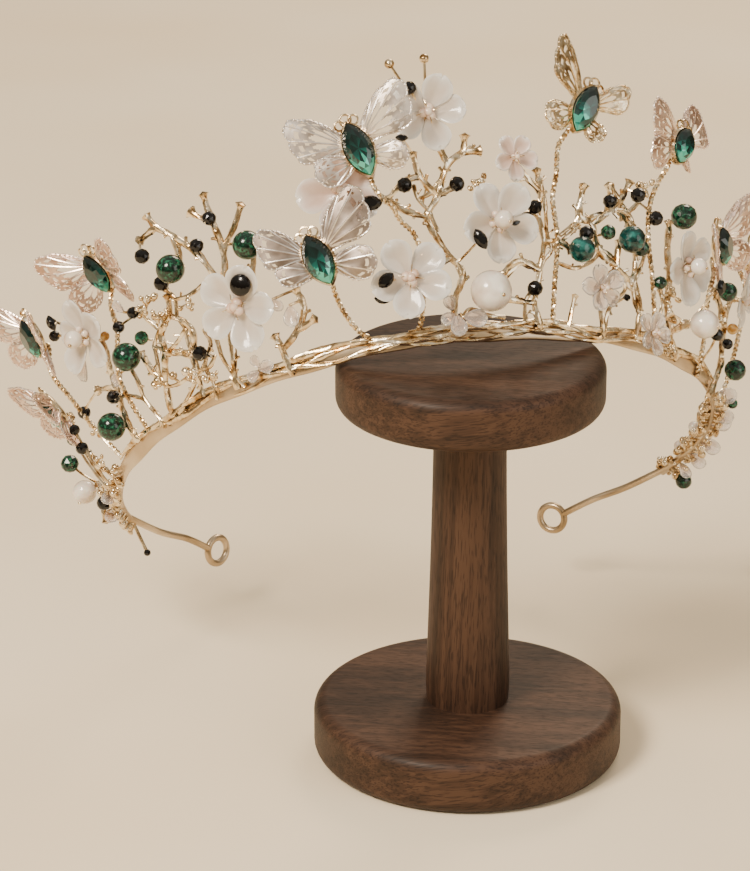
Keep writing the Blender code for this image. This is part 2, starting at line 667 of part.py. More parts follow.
def build():
    for old in list(bpy.data.objects):
        bpy.data.objects.remove(old)
    tiara = bpy.data.objects.new("tiara_pose", None)
    bpy.context.collection.objects.link(tiara)
    tiara.matrix_world = Matrix.LocRotScale(BAND_CENTRE * MM, POSE.to_quaternion(), (1, 1, 1))
    build_stand()
    build_band(tiara)
    for name, branches in SPRAYS.items():
        build_spray(name, branches, tiara)
    for name, row in BUTTERFLIES.items():
        build_butterfly(name, row, tiara)
    for name, row in FLOWERS.items():
        build_flower(name, row, tiara)
    for name, (across, up, radius, finish) in ROUND_STONES.items():
        build_ball(name, seated(across, up, radius), radius, finish, tiara)


build()
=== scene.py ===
from math import atan2, cos, exp, hypot, pi, radians, sin, tan
from random import Random

import bmesh
import bpy
from mathutils import Matrix, Vector, noise


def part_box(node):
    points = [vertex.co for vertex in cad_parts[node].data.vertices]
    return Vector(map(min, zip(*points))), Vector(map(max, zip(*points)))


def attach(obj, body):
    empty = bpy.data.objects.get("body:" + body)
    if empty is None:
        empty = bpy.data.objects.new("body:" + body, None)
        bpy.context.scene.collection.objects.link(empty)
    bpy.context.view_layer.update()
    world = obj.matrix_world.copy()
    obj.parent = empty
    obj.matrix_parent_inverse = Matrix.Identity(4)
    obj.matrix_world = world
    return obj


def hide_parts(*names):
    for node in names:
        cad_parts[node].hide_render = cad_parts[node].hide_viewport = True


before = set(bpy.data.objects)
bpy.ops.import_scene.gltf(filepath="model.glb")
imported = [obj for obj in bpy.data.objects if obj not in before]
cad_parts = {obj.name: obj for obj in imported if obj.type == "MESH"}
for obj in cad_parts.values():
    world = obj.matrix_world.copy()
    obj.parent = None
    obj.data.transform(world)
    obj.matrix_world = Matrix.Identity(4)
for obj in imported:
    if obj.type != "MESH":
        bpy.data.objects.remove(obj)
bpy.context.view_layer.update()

MM = 0.001

# The tiara's place on the stand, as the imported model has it
BAND_RADIUS = 83.0
STRIP_WIDTH = 5.0
STRIP_THICKNESS = 1.1
STRIP_HALF_SWEEP = 112.0
WIRE_RADIUS = 1.0
END_RING_RADIUS = 3.8
END_RING_ACROSS = 50.0
END_RING_BACK = 61.0
END_RING_TWIST = 62.0
STAND_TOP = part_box("stand_top")[1].z / MM
BAND_CENTRE = Vector((-13.0, 54.6, STAND_TOP - 49.7))
LEAN = 43.6
TURN = 12.8
SPIN = -1.3
FLARE = 20.0
POSE = (
    Matrix.Translation(BAND_CENTRE)
    @ Matrix.Rotation(radians(TURN), 4, "Z")
    @ Matrix.Rotation(radians(-LEAN), 4, "X")
    @ Matrix.Rotation(radians(SPIN), 4, "Z")
)
TO_TIARA = POSE.inverted()

# Front view: millimetres across and up from the middle of the stand's top face
VIEW_DOWN = 21.54
EYE = Vector((-24.7, -869.2, 432.9))
FOCAL_LENGTH = 148.8
SENSOR = 36.0

# The same view in the photograph's 750 by 871 pixels
PHOTO_ACROSS = 471.2
PHOTO_DOWN = 355.9
PIXELS_PER_MM = 3.88

# Layers in front of the crown's cone
TWIG_LAYER = 1.6
STEM_LAYER = 3.3
FOOT_LAYER = 1.75
SEAT_LAYER = 3.0
TWIG_RADIUS = 0.85
STONE_WIDTH = 7.0
BEZEL_RIM = 0.8
BEZEL_THICKNESS = 1.4

# Wing tips of the butterflies seen from the side, which have no wings below: sideways, headward, forward
OPEN_WINGS = [(-15.0, 9.5, 5.0), (14.5, 9.9, 4.7), (-11.5, -7.3, 4.0), (11.1, -7.8, 3.7)]

# Front-view columns: head and tail of the stone, how far it stands out or behind the axis, wing
# tips (across, up, forward) and stem; solid wings are pierced near the rim only, and left_fold and
# right_fold turn that side's wings about their own length, in degrees
BUTTERFLIES = {
    "upper_left": {
        "head": (-32.0, 59.5), "tail": (-25.8, 46.4), "proud": 11.0, "finish": "silver",
        "wings": [(-48.2, 59.5, 3.0), (-18.6, 71.5, 2.0), (-39.8, 45.5, 3.0), (-16.0, 51.5, 3.0)],
        "stem": [(-24.6, 42.6, 9.5), (-20.7, 38.6, 9.0), (-18.0, 34.5, 5.5), (-14.6, 31.0), (-12.4, 24.0),
                 (-12.4, 12.0), (-13.4, 6.6)],
    },
    "lower_left": {
        "head": (-42.3, 30.6), "tail": (-35.9, 18.5), "proud": 10.5, "finish": "taupe", "solid": True,
        "wings": [(-55.7, 31.5, 3.0), (-30.2, 44.0, 1.0), (-50.3, 20.8, 2.5), (-24.2, 24.0, 2.5)],
        "stem": [(-34.8, 15.5), (-32.5, 10.8), (-29.2, 6.5), (-26.0, 4.3)],
    },
    "upper_right": {
        "head": (31.6, 69.0), "tail": (26.5, 57.7), "proud": 4.5, "finish": "gold",
        "left_fold": 18.0,
        "wings": [(23.7, 83.0, 2.0), (40.6, 69.0, 3.0), (19.3, 61.3, 3.0), (33.6, 55.2, 3.0)],
        "stem": [(24.4, 57.0), (22.4, 53.5), (21.9, 46.5), (21.0, 40.0), (22.2, 30.0), (21.5, 18.0),
                 (21.0, 8.5)],
    },
    "right": {
        "head": (55.1, 58.2), "tail": (52.8, 49.7), "proud": 5.0, "finish": "rose",
        "right_fold": -48.0,
        "wings": [(47.6, 66.2, 3.0), (57.6, 64.0, -5.5), (46.4, 51.6, 2.5), (55.4, 47.6, -3.0)],
        "stem": [(50.6, 48.4), (48.2, 44.5), (46.0, 38.5), (45.6, 30.0), (46.8, 18.0), (47.4, 3.5)],
    },
    "right_side": {
        "head": (63.6, 33.0), "tail": (64.4, 23.4), "behind": 55.0, "finish": "rose",
        "stem": [(61.6, 20.5), (58.4, 13.0), (57.8, 3.0), (58.0, -5.6)],
    },
    "right_rear": {
        "head": (72.6, 30.9), "tail": (71.3, 21.1), "behind": 90.0, "finish": "rose",
        "stem": [(70.6, 16.5), (69.0, 6.0), (66.0, -6.0), (63.2, -12.5)],
    },
    "far_left": {
        "head": (-114.6, 9.6), "tail": (-110.2, 0.0), "behind": 44.0, "finish": "rose",
        "stem": [(-108.0, -4.5), (-103.0, -11.0), (-97.0, -18.5), (-90.2, -25.8)],
    },
    "left_low": {
        "head": (-110.0, -10.4), "tail": (-103.8, -17.8), "behind": 54.0, "finish": "rose",
        "stem": [(-102.0, -20.5), (-97.6, -25.4), (-94.5, -28.5), (-91.4, -31.6)],
    },
    "upper_far_left": {
        "head": (-98.8, 26.2), "tail": (-92.8, 17.0), "behind": 30.0, "finish": "rose",
        "stem": [(-91.4, 13.0), (-91.0, 6.0), (-90.5, -6.0), (-83.4, -18.8)],
    },
}

# Front-view columns for a flower: across, up, petal reach, turn, post length, finish
FLOWERS = {
    "left": (-58.3, 12.6, 11.5, 54.0, 2.6, "frosted"),
    "centre_low": (-15.8, 19.6, 11.0, 41.0, 3.2, "frosted"),
    "centre": (5.9, 34.0, 11.0, 52.0, 2.6, "frosted"),
    "top": (-11.9, 62.0, 10.5, 66.0, 2.0, "frosted"),
    "right_side": (52.2, 22.6, 10.0, 60.0, 2.6, "frosted"),
    "far_left": (-96.5, 5.8, 10.5, 75.0, 2.0, "frosted"),
    "upper_left": (-33.0, 42.0, 11.5, 30.0, 1.6, "blush"),
    "right_rear": (67.0, 14.5, 8.0, 20.0, 1.6, "frosted"),
    "enamel": (10.0, 50.5, 6.5, 60.0, 1.6, "blush"),
    "small_right": (31.9, 17.0, 6.5, 35.0, 1.6, "clear"),
    "low_right": (43.4, 5.4, 6.0, 70.0, 3.0, "clear"),
}

# Front-view points of each branch; KNOB after the last point marks a knobbed tip
KNOB = "knob"
SPRAYS = {
    "twigs_left_rear": [
        [(-77.0, -14.5), (-78.5, -7.5), (-78.7, 0.7), (-79.7, 5.6), (-77.6, 10.3), (-78.1, 15.4), KNOB],
        [(-78.7, 0.7), (-74.7, 0.6), (-71.7, 0.0), (-71.4, 5.6), (-73.8, 8.4), (-77.6, 10.3)],
        [(-71.7, 0.0), (-70.0, -6.0), (-68.6, -10.6)],
        [(-78.5, -7.5), (-82.0, -4.0), (-85.0, 0.5), KNOB],
    ],
    "twigs_left_upper": [
        [(-60.5, -7.0), (-62.0, 8.0), (-63.5, 17.0), (-63.7, 27.0), (-66.5, 34.0), (-68.9, 41.5), KNOB],
        [(-63.7, 27.0), (-61.0, 33.0), (-59.1, 38.9), KNOB],
        [(-66.5, 34.0), (-72.5, 36.8), KNOB],
        [(-63.5, 17.0), (-67.5, 22.5), (-70.7, 26.5), (-76.6, 30.6), (-81.0, 33.0), (-83.6, 35.8), KNOB],
        [(-81.0, 33.0), (-85.4, 29.4), KNOB],
        [(-76.6, 30.6), (-75.4, 26.5), (-74.5, 22.6), KNOB],
        [(-62.0, 8.0), (-58.3, 12.6), (-56.4, 20.0), (-55.8, 28.4), KNOB],
    ],
    "twigs_left_front": [
        [(-46.5, -3.8), (-48.5, 1.5), (-50.6, 5.0), KNOB],
        [(-48.5, 1.5), (-44.5, 6.5), (-43.0, 12.0), (-45.0, 17.0), KNOB],
        [(-44.5, 6.5), (-40.0, 9.5), KNOB],
    ],
    "twigs_centre": [
        [(-4.5, 8.0), (-3.9, 14.7), (-2.1, 21.4), (-5.2, 25.2), (-8.6, 29.9), (-11.4, 35.6), (-8.6, 41.0),
         (-6.0, 49.2), (-2.1, 52.3), (-1.6, 56.6), KNOB],
        [(-2.1, 52.3), (2.4, 52.6), KNOB],
        [(-6.0, 49.2), (-8.6, 54.5), (-11.6, 60.5), KNOB],
        [(-8.6, 41.0), (-13.2, 46.1), (-15.0, 52.0), KNOB],
        [(-13.2, 46.1), (-18.0, 44.2), (-21.7, 40.4), (-27.0, 41.6), (-32.8, 42.0), KNOB],
        [(-21.7, 40.4), (-16.5, 37.0), (-11.4, 35.6)],
        [(-5.2, 25.2), (-10.5, 22.0), (-15.8, 19.8), KNOB],
        [(-8.6, 41.0), (-4.2, 43.6), KNOB],
    ],
    "twigs_centre_right": [
        [(17.7, 7.6), (16.5, 13.5), (17.7, 21.9), (18.7, 29.5), (17.2, 36.6), (17.9, 42.0), (17.0, 47.8),
         KNOB],
        [(18.7, 29.5), (23.0, 29.0), (26.0, 27.0), KNOB],
        [(17.7, 21.9), (12.1, 24.2), (8.0, 20.6), KNOB],
        [(16.5, 13.5), (9.0, 14.5), (3.4, 16.0), KNOB],
        [(17.2, 36.6), (11.5, 36.0), (6.0, 34.0), KNOB],
        [(17.9, 42.0), (13.5, 46.5), (10.2, 50.2), KNOB],
    ],
    "twigs_right": [
        [(34.0, 6.0), (33.4, 11.6), (32.2, 17.2), (37.3, 22.4), (33.0, 26.6), (31.0, 33.7), (27.8, 36.0),
         (29.1, 43.8), KNOB],
        [(31.0, 33.7), (36.8, 37.1), (40.9, 33.5), (43.6, 28.8), KNOB],
        [(36.8, 37.1), (35.4, 44.0), KNOB],
        [(36.8, 37.1), (40.9, 44.6), KNOB],
        [(37.3, 22.4), (41.4, 19.5), (42.3, 26.0), (40.9, 33.5)],
        [(41.4, 19.5), (43.4, 12.0), (42.5, 4.2)],
        [(37.3, 22.4), (38.1, 29.4), KNOB],
    ],
    "twigs_right_coral": [
        [(52.6, 0.0), (51.0, 6.0), (50.4, 13.0), (51.0, 19.0), (50.6, 27.0), (50.9, 34.4), KNOB],
        [(51.0, 19.0), (52.2, 22.6), KNOB],
        [(51.0, 6.0), (55.6, 8.0), KNOB],
    ],
    "twigs_right_rear": [
        [(61.6, -9.4), (63.9, -3.4), (64.8, 4.0), (65.4, 10.0), (67.0, 14.5), KNOB],
        [(65.4, 10.0), (62.5, 16.4), KNOB],
    ],
    "twigs_far_left": [
        [(-86.4, -21.0), (-88.4, -17.0), (-91.5, -8.0), (-94.0, 1.0), (-96.5, 5.8), KNOB],
        [(-91.5, -8.0), (-96.0, -9.0), KNOB],
    ],
    "twigs_left_end": [
        [(-92.2, -34.6), (-93.6, -36.6), (-95.8, -33.0), KNOB],
        [(-93.4, -36.3), (-94.6, -39.4), (-93.8, -42.8), KNOB],
    ],
}

# Small round stones with no solid of their own, by photo pixel: across, down, radius, and in
# millimetres the lift of those that stand off
JET_BEADS = [
    (214, 219, 7.5), (202, 246, 7.5), (149, 256, 8.0), (168, 283, 8.0), (140, 312, 6.5),
    (126, 326, 6.5), (206, 353, 8.0), (122, 395, 7.5), (455, 186, 8.0), (404, 187, 8.0),
    (531, 290, 8.0), (531, 209, 7.5), (581, 235, 8.0), (604, 203, 7.5), (631, 197, 8.0),
    (648, 220, 8.0), (708, 335, 7.0), (719, 344, 6.0), (91, 445, 7.0), (83, 427, 6.0), (93, 410, 7.0),
    (69, 332, 6.0, 2.0), (408, 91, 7.0, 1.5),
]
GREEN_BEADS = [
    (602, 234, 8.0), (634, 250, 8.5), (80, 459, 10.0), (82, 436, 7.0), (149, 337, 7.5), (653, 284, 7.0),
]
AMBER_BEADS = [
    (112, 335, 5.0), (724, 329, 6.0),
]
GOLD_BEADS = [
    (389, 66, 5.0), (423, 61, 5.0), (172, 351, 2.6), (179, 352, 2.6), (186, 352, 2.6), (194, 352, 2.6),
    (164, 380, 4.5), (179, 375, 4.5), (192, 371, 5.0),
]

# Black navettes by photo pixel: across, down, half length, half width, slant, lift
JET_NAVETTES = [
    (387, 283, 10.0, 6.5, -55.0, 6.5), (473, 243, 11.5, 6.5, 25.0, 6.0),
    (372, 206, 11.5, 7.5, 80.0, 5.0), (506, 227, 5.0, 2.6, -70.0, 5.5), (695, 288, 9.0, 6.5, 10.0, 5.5),
    (70, 318, 9.0, 6.0, 0.0, 3.5), (398, 145, 6.5, 3.6, 80.0, 12.5), (384, 300, 9.0, 5.5, 80.0, 2.0),
    (610, 300, 4.0, 3.0, 20.0, 4.5),
]

# The round black cabochon by photo pixel: across, down, and in millimetres its radius and lift
CABOCHON = (252, 285, 2.9, 6.0)

# Loose petals by photo pixel: across, down, reach, direction of the tip, lift
LOOSE_PETALS = [
    (455, 316, 22.0, -88.0, 2.5), (455, 316, 17.0, 200.0, 2.0), (462, 318, 24.0, -12.0, 2.0),
    (452, 312, 16.0, 110.0, 1.6), (262, 371, 15.0, 205.0, 1.2), (262, 370, 18.0, 2.0, 1.2),
    (262, 368, 14.0, 100.0, 1.0), (126, 372, 18.0, 200.0, 1.0), (128, 312, 16.0, 110.0, 1.0),
    (293, 306, 22.0, -92.0, 2.5), (276, 300, 15.0, -60.0, 2.0), (88, 352, 30.0, -115.0, 1.6),
]

# Fine twigs with no solid of their own, by photo pixel
NETS = {
    "net_left": [
        [(190, 348), (186, 330), (178, 318), (176, 300), (166, 290), KNOB],
        [(155, 347), (168, 351), (184, 352), (200, 352), (214, 358)],
        [(155, 347), (160, 330), (172, 318), (186, 322), (194, 334), (190, 352)],
        [(155, 347), (160, 372), (166, 386), (180, 384), (197, 372), (210, 368), (216, 356)],
        [(217, 338), (222, 356), (232, 372), (246, 388)],
        [(204, 330), (211, 345), (206, 366), (214, 384), (218, 400)],
        [(160, 330), (150, 322), (141, 313), KNOB],
        [(176, 300), (190, 296), (203, 286), (212, 276)],
        [(131, 368), (140, 385), (146, 400), (160, 418), (166, 428)],
        [(146, 400), (135, 397), (124, 396), KNOB],
        [(186, 330), (178, 343), (170, 351)],
        [(206, 366), (197, 380), (190, 396), (180, 414)],
    ],
    "net_right": [
        [(633, 280), (636, 262), (634, 243), (633, 226), (627, 214), (608, 213), (592, 217), (576, 224),
         (560, 236)],
        [(576, 223), (581, 203), (582, 188), KNOB],
        [(628, 213), (621, 203), (611, 187), KNOB],
        [(592, 250), (602, 251), (613, 260), (615, 272), (608, 286)],
        [(615, 271), (623, 279), (634, 281), (642, 264), (647, 243), KNOB],
        [(623, 279), (625, 290), (617, 300), (608, 312), (604, 333)],
        [(632, 284), (635, 305), (639, 316), (637, 342)],
        [(569, 327), (573, 305), (575, 296), KNOB],
        [(555, 262), (575, 269), (592, 262), (600, 252)],
        [(526, 322), (526, 301), (537, 283), (544, 262), (551, 251), (547, 233), (544, 198), (538, 176),
         KNOB],
        [(501, 284), (519, 265), (532, 268), (544, 262)],
        [(551, 251), (566, 238), (580, 226)],
        [(627, 214), (638, 203), (642, 190), KNOB],
        [(655, 345), (657, 325), (662, 305), (660, 290), KNOB],
        [(668, 352), (672, 330), (668, 312), (662, 305)],
    ],
    "net_centre": [
        [(453, 300), (462, 286), (458, 268), (451, 258)],
        [(438, 232), (430, 214), (418, 200), (414, 186)],
        [(418, 200), (430, 194), (441, 180), (450, 160)],
        [(460, 326), (470, 310), (488, 316), (505, 318)],
        [(486, 190), (500, 196), (512, 190), KNOB],
    ],
}
NET_RADIUS = 0.55

# Wired clusters of small gold nuggets by photo pixel: across, down, count, spread in pixels
NUGGETS = [
    (152, 306, 10, 12.0), (166, 318, 9, 9.0), (192, 303, 6, 8.0), (214, 376, 7, 8.0),
    (166, 383, 6, 7.0), (196, 375, 6, 7.0), (104, 428, 7, 9.0), (103, 462, 7, 9.0), (106, 486, 6, 8.0),
    (476, 184, 10, 10.0), (641, 190, 7, 8.0), (664, 296, 9, 9.0), (668, 316, 9, 9.0),
    (712, 322, 7, 7.0), (664, 353, 6, 8.0),
]

# Stones wired to the band's arms: degrees from the front, up, out, radius, finish
ARM_STONES = [
    (109.0, -3.0, 5.0, 2.4, "green"), (79.0, 2.0, 5.0, 1.5, "green"), (-100.0, 2.0, 4.0, 2.1, "jet"),
    (-114.0, -9.0, 1.0, 1.0, "jet"), (-105.0, 0.5, 4.5, 1.6, "amber"), (92.0, 1.0, -3.0, 1.6, "pearl"),
    (84.0, 1.5, -2.8, 1.3, "pearl"), (101.0, 0.5, -3.0, 1.5, "pearl"),
]

# Clear petals on the arms: degrees from the front, up, reach in millimetres, direction
ARM_PETALS = [
    (77.0, 1.0, 6.5, 165.0), (83.0, 0.0, 6.0, 190.0), (89.0, 1.0, 7.0, 175.0), (95.0, -1.0, 6.5, 200.0),
    (101.0, -1.0, 6.0, 215.0), (105.0, -1.5, 5.0, 235.0), (-103.0, -1.0, 5.5, 200.0),
    (-96.0, -0.5, 5.0, 185.0),
]

# Nuggets along the arms: first and last degrees from the front, count, least and most out
ARM_NUGGETS = [
    (72.0, 112.0, 80, 1.0, 3.4), (76.0, 112.0, 64, -3.2, -1.0), (-113.0, -84.0, 54, 0.9, 2.9),
]

# Outlines in a wing's own measures: along from the body to the tip, and towards the head
FORE_WING = [(0.0, 0.10), (0.3, 0.17), (0.62, 0.19), (0.88, 0.11), (1.0, 0.0), (0.95, -0.16),
             (0.8, -0.34), (0.6, -0.49), (0.42, -0.46), (0.2, -0.26), (0.0, -0.12)]
HIND_WING = [(0.0, 0.12), (0.3, 0.28), (0.65, 0.38), (0.92, 0.26), (1.0, 0.0), (0.9, -0.26),
             (0.6, -0.38), (0.25, -0.26), (0.0, -0.1)]
WING_ROWS = 26
CELL_COLUMNS = 8
WING_THICKNESS = 0.32
WING_RIB, WING_RIM = 0.28, 0.27
BEADING_RADIUS, BEADING_STEP = 0.38, 0.95
ROPE_STRAND, ROPE_OFFSET, ROPE_PITCH = 0.42, 0.36, 2.8
STONE_HEIGHT, JET_HEIGHT = 3.0, 1.8
HEAD_LOOP_WIRE = 0.3
PIN_RADIUS = 0.36
PEARL_PIN_HEAD = 0.5
CUT_BEADS = ("bead_teal", "bead_teal_right", "bead_green_upper_right", "bead_green_end")

# The stand's turning: rounded edge of the discs, head of the column, its reach into each disc
DISC_EDGE = 3.5
STEM_HEAD_RADIUS = 9.5
STEM_JOINT = 0.3


# Materials


def linear(hex_colour):
    """The linear colour of an sRGB hex value."""
    channels = [int(hex_colour[i:i + 2], 16) / 255 for i in (1, 3, 5)]
    return [c / 12.92 if c <= 0.04045 else ((c + 0.055) / 1.055) ** 2.4 for c in channels] + [1.0]


def per_mm(size):
    """The scale that gives a pattern's features this size in millimetres."""
    return 1.0 / (size * MM)


def add_node(tree, kind, settings, links=()):
    """Adds a node with its settings, its colour stops if it has any, and the sockets that feed it."""
    node = tree.nodes.new("ShaderNode" + kind)
    for key, value in settings.items():
        if key == "stops":
            ramp = node.color_ramp
            while len(ramp.elements) < len(value):
                ramp.elements.new(0.5)
            for element, (place, colour) in zip(ramp.elements, value):
                element.position = place
                element.color = linear(colour)
        elif isinstance(key, str) and hasattr(node, key):
            setattr(node, key, value)
        else:
            node.inputs[key].default_value = value
    for key, source in dict(links).items():
        tree.links.new(source, node.inputs[key])
    return node


class Look:
    """A material of one shader, with what feeds it; the settings stand on the shader's own sockets."""

    def __init__(self, name, settings):
        self.material = bpy.data.materials.new(name)
        self.material.use_nodes = True
        self.tree = self.material.node_tree
        self.shader = self.tree.nodes["Principled BSDF"]
        for socket, value in settings.items():
            self.shader.inputs[socket].default_value = value

    def place(self):
        return add_node(self.tree, "TexCoord", {}).outputs["Object"]

    def noise(self, size, **settings):
        """Soft noise with features of this size in millimetres."""
        settings["Scale"] = per_mm(size)
        return add_node(self.tree, "TexNoise", settings, {"Vector": self.place()}).outputs["Fac"]

    def carried(self, name):
        """A value that the shape itself carries."""
        return add_node(self.tree, "Attribute", {"attribute_name": name}).outputs["Fac"]

    def blend(self, value, factor, base):
        """The value times the factor, plus the base."""
        return add_node(self.tree, "Math", {"operation": "MULTIPLY_ADD", 1: factor},
                        {0: value, 2: base}).outputs["Value"]

    def ramp(self, value, stops):
        return add_node(self.tree, "ValToRGB", {"stops": stops}, {"Fac": value}).outputs["Color"]

    def spread(self, value, low, high, **settings):
        settings.update({"To Min": low, "To Max": high})
        return add_node(self.tree, "MapRange", settings, {"Value": value}).outputs["Result"]

    def relief(self, height, strength, depth):
        """A bump of this depth in millimetres."""
        bump = add_node(self.tree, "Bump", {"Strength": strength, "Distance": depth * MM}, {"Height": height})
        return bump.outputs["Normal"]

    def finish(self, colour, roughness=None, normal=None):
        """Links what is given to the shader, and hands over the material."""
        for socket, source in (("Base Color", colour), ("Roughness", roughness), ("Normal", normal)):
            if source is not None:
                self.tree.links.new(source, self.shader.inputs[socket])
        return self.material


def plated_metal(name, bright, mid, dark, roughness, grain, relief=0.5):
    """Cast and plated zinc alloy: the colour drifts with the plating and shallow pits break the shine."""
    look = Look(name, {"Metallic": 1.0})
    drift = look.noise(grain * 3, Detail=3.0)
    pits = look.noise(grain, Detail=4.0, Roughness=0.6)
    return look.finish(look.ramp(drift, [(0.3, dark), (0.5, mid), (0.66, bright)]),
                       look.spread(pits, roughness * 0.6, roughness * 1.5),
                       look.relief(pits, relief, grain * 0.16))


def foiled_emerald():
    """Machine-cut glass over green foil, with painted light: darker towards the head and painted lit facets
    towards the tail, varied at random from facet to facet.
    """
    look = Look("foiled_emerald_glass", {
        "Metallic": 0.35, "Roughness": 0.06, "IOR": 1.55, "Coat Weight": 0.6, "Coat Roughness": 0.02})
    # Painted light: the along value lightens the colour from the head to the tail
    mixed = look.blend(look.carried("facet"), 0.4, look.carried("along"))
    return look.finish(look.ramp(mixed, [
        (0.25, "#021413"), (0.7, "#052B29"), (0.86, "#0A4743"), (0.97, "#116A61"), (1.0, "#45B5A2")]))


def crackle_glass(name, dark, mid, light, cell):
    """Quench-crackled glass: pale fracture sheets inside a dark ball with a soft shine."""
    look = Look(name, {"Roughness": 0.14, "IOR": 1.45, "Coat Weight": 0.2, "Coat Roughness": 0.05,
                       "Transmission Weight": 0.15})
    cracks = add_node(look.tree, "TexVoronoi", {"feature": "DISTANCE_TO_EDGE", "Scale": per_mm(cell)},
                      {"Vector": look.place()})
    clouds = look.noise(cell * 0.8, Detail=4.0)
    mixed = look.blend(cracks.outputs["Distance"], -0.55, clouds)
    return look.finish(look.ramp(mixed, [(0.25, dark), (0.46, mid), (0.62, light)]))


def jet_glass():
    """Black pressed glass: a mirror shine, with a faint cloudiness from handling."""
    look = Look("black_jet_glass", {
        "Base Color": linear("#060506"), "IOR": 1.42, "Coat Weight": 0.15, "Coat Roughness": 0.03})
    return look.finish(None, look.spread(look.noise(2.0), 0.04, 0.16))


def blown_petal(name, pale, deep, transmission, roughness):
    """Frosted resin petals: milky and cream at the heart, with a painted highlight in the thick rims."""
    look = Look(name, {
        "IOR": 1.42, "Transmission Weight": transmission, "Coat Weight": 0.5, "Coat Roughness": 0.08})
    milk = look.noise(3.0, Detail=3.0)
    # Painted highlight: the rim value whitens the colour at the thick rims
    mixed = look.blend(milk, 0.3, look.carried("rim"))
    return look.finish(look.ramp(mixed, [(0.1, deep), (0.4, pale), (1.0, "#FFFEFA")]),
                       look.spread(milk, roughness * 0.7, roughness * 1.4),
                       look.relief(milk, 0.15, 0.2))


def nacre(name, low, high):
    """Imitation pearl: a satin body under a clear lacquer, a shade warmer in places, with painted shade
    darkening it towards its outline.
    """
    look = Look(name, {
        "Roughness": 0.22, "Coat Weight": 1.0, "Coat Roughness": 0.05, "Subsurface Weight": 0.12,
        "Subsurface Scale": 0.8 * MM, "Sheen Weight": 0.15, "Sheen Tint": linear("#F4D9CF")})
    # Painted shade: the colour darkens where the surface turns away from the camera
    edge = add_node(look.tree, "LayerWeight", {"Blend": 0.35})
    mixed = look.blend(edge.outputs["Facing"], -0.45, look.noise(5.0))
    return look.finish(look.ramp(mixed, [(0.1, low), (0.5, high)]))


def oiled_walnut(name, grain_turn):
    """Turned and oiled walnut: long fine dark streaks, short open pores and a satin shine."""
    look = Look(name, {"IOR": 1.34, "Coat Weight": 0.05, "Coat Roughness": 0.28})
    turned = add_node(look.tree, "Mapping", {"Rotation": grain_turn}, {"Vector": look.place()})
    layers = {}
    # Columns: length along the grain, width across it, detail, bending
    for layer, (length, width, detail, bend) in {
        "tone": (150.0, 14.0, 2.0, 0.2), "streak": (90.0, 1.3, 3.0, 0.1), "pore": (5.0, 0.4, 1.0, 0.0),
    }.items():
        grain = add_node(look.tree, "Mapping", {"Scale": (per_mm(length), per_mm(width), per_mm(width))},
                         {"Vector": turned.outputs["Vector"]})
        layers[layer] = add_node(look.tree, "TexNoise", {"Scale": 1.0, "Detail": detail, "Distortion": bend},
                                 {"Vector": grain.outputs["Vector"]}).outputs["Fac"]
    mixed = look.blend(layers["streak"], 0.75, layers["tone"])
    colour = look.ramp(mixed, [(0.55, "#24170F"), (0.8, "#37251A"), (0.92, "#422D21"), (1.0, "#4D3628")])
    open_pore = look.spread(layers["pore"], 0.55, 1.0, **{"From Min": 0.38, "From Max": 0.47})
    stained = add_node(look.tree, "VectorMath", {"operation": "SCALE"}, {0: colour, "Scale": open_pore})
    return look.finish(stained.outputs["Vector"], look.spread(layers["pore"], 0.68, 0.5),
                       look.relief(open_pore, 0.25, 0.1))


def floor_paper():
    """Matt pale paper with a faint mottle."""
    look = Look("pale_paper", {"Roughness": 0.9})
    return look.finish(look.ramp(look.noise(160.0, Detail=2.0), [(0.3, "#F3E0BF"), (0.7, "#F8E9CD")]))


FINISHES = {
    "gold": plated_metal("champagne_gold_plate", "#FBF0DA", "#E8D2AC", "#9A7444", 0.2, 0.8),
    # The silver and rose sheets are darker copies of their wires' metal: painted shade on the plate between
    # the raised ribs and rim
    "silver": plated_metal("rose_silver_sheet", "#E6DED7", "#CBC0B7", "#A89B90", 0.42, 2.0, 0.1),
    "silver_wire": plated_metal("rose_silver_wire", "#FFFCF9", "#F6EFE9", "#DDD2C9", 0.3, 0.9, 0.1),
    "taupe": plated_metal("taupe_lacquered_sheet", "#B7AAA0", "#998B80", "#75685E", 0.44, 2.0, 0.1),
    "rose": plated_metal("pale_rose_gold_sheet", "#EBD5C8", "#D6BBAB", "#B4927F", 0.4, 2.0, 0.1),
    "rose_wire": plated_metal("pale_rose_gold_wire", "#FFF6F0", "#F9E6DA", "#DDC1AF", 0.28, 0.9, 0.1),
    "band": plated_metal("satin_gold_strip", "#D8C7AE", "#C4AF92", "#AB9474", 0.32, 6.0, 0.1),
    "emerald": foiled_emerald(),
    "green": crackle_glass("green_crackle_glass", "#04150F", "#0B3325", "#2C7054", 1.3),
    "teal": crackle_glass("teal_crackle_glass", "#05201F", "#0D423F", "#2C7A74", 3.0),
    "amber": crackle_glass("amber_crackle_glass", "#8A5A22", "#C98F3F", "#F0CC86", 2.6),
    "jet": jet_glass(),
    "frosted": blown_petal("frosted_white_resin", "#EEEAE5", "#E4D8CA", 0.32, 0.2),
    "blush": blown_petal("blush_enamel", "#F3E2D9", "#DDBFAD", 0.2, 0.2),
    "clear": blown_petal("clear_resin", "#F6F1EE", "#E6D6CB", 0.75, 0.12),
    "pearl": nacre("cream_pearl_nacre", "#CDB8A2", "#F7F1E6"),
    "heart": nacre("peach_pearl_nacre", "#D3A98B", "#F5E2D2"),
    "walnut_disc": oiled_walnut("oiled_walnut_across", (0.0, radians(8.0), radians(6.0))),
    "walnut_stem": oiled_walnut("oiled_walnut_upright", (0.0, radians(88.0), 0.0)),
    "paper": floor_paper(),
}
WING_WIRES = {"silver": "silver_wire", "taupe": "silver_wire", "rose": "rose_wire", "gold": "gold"}


# Shapes


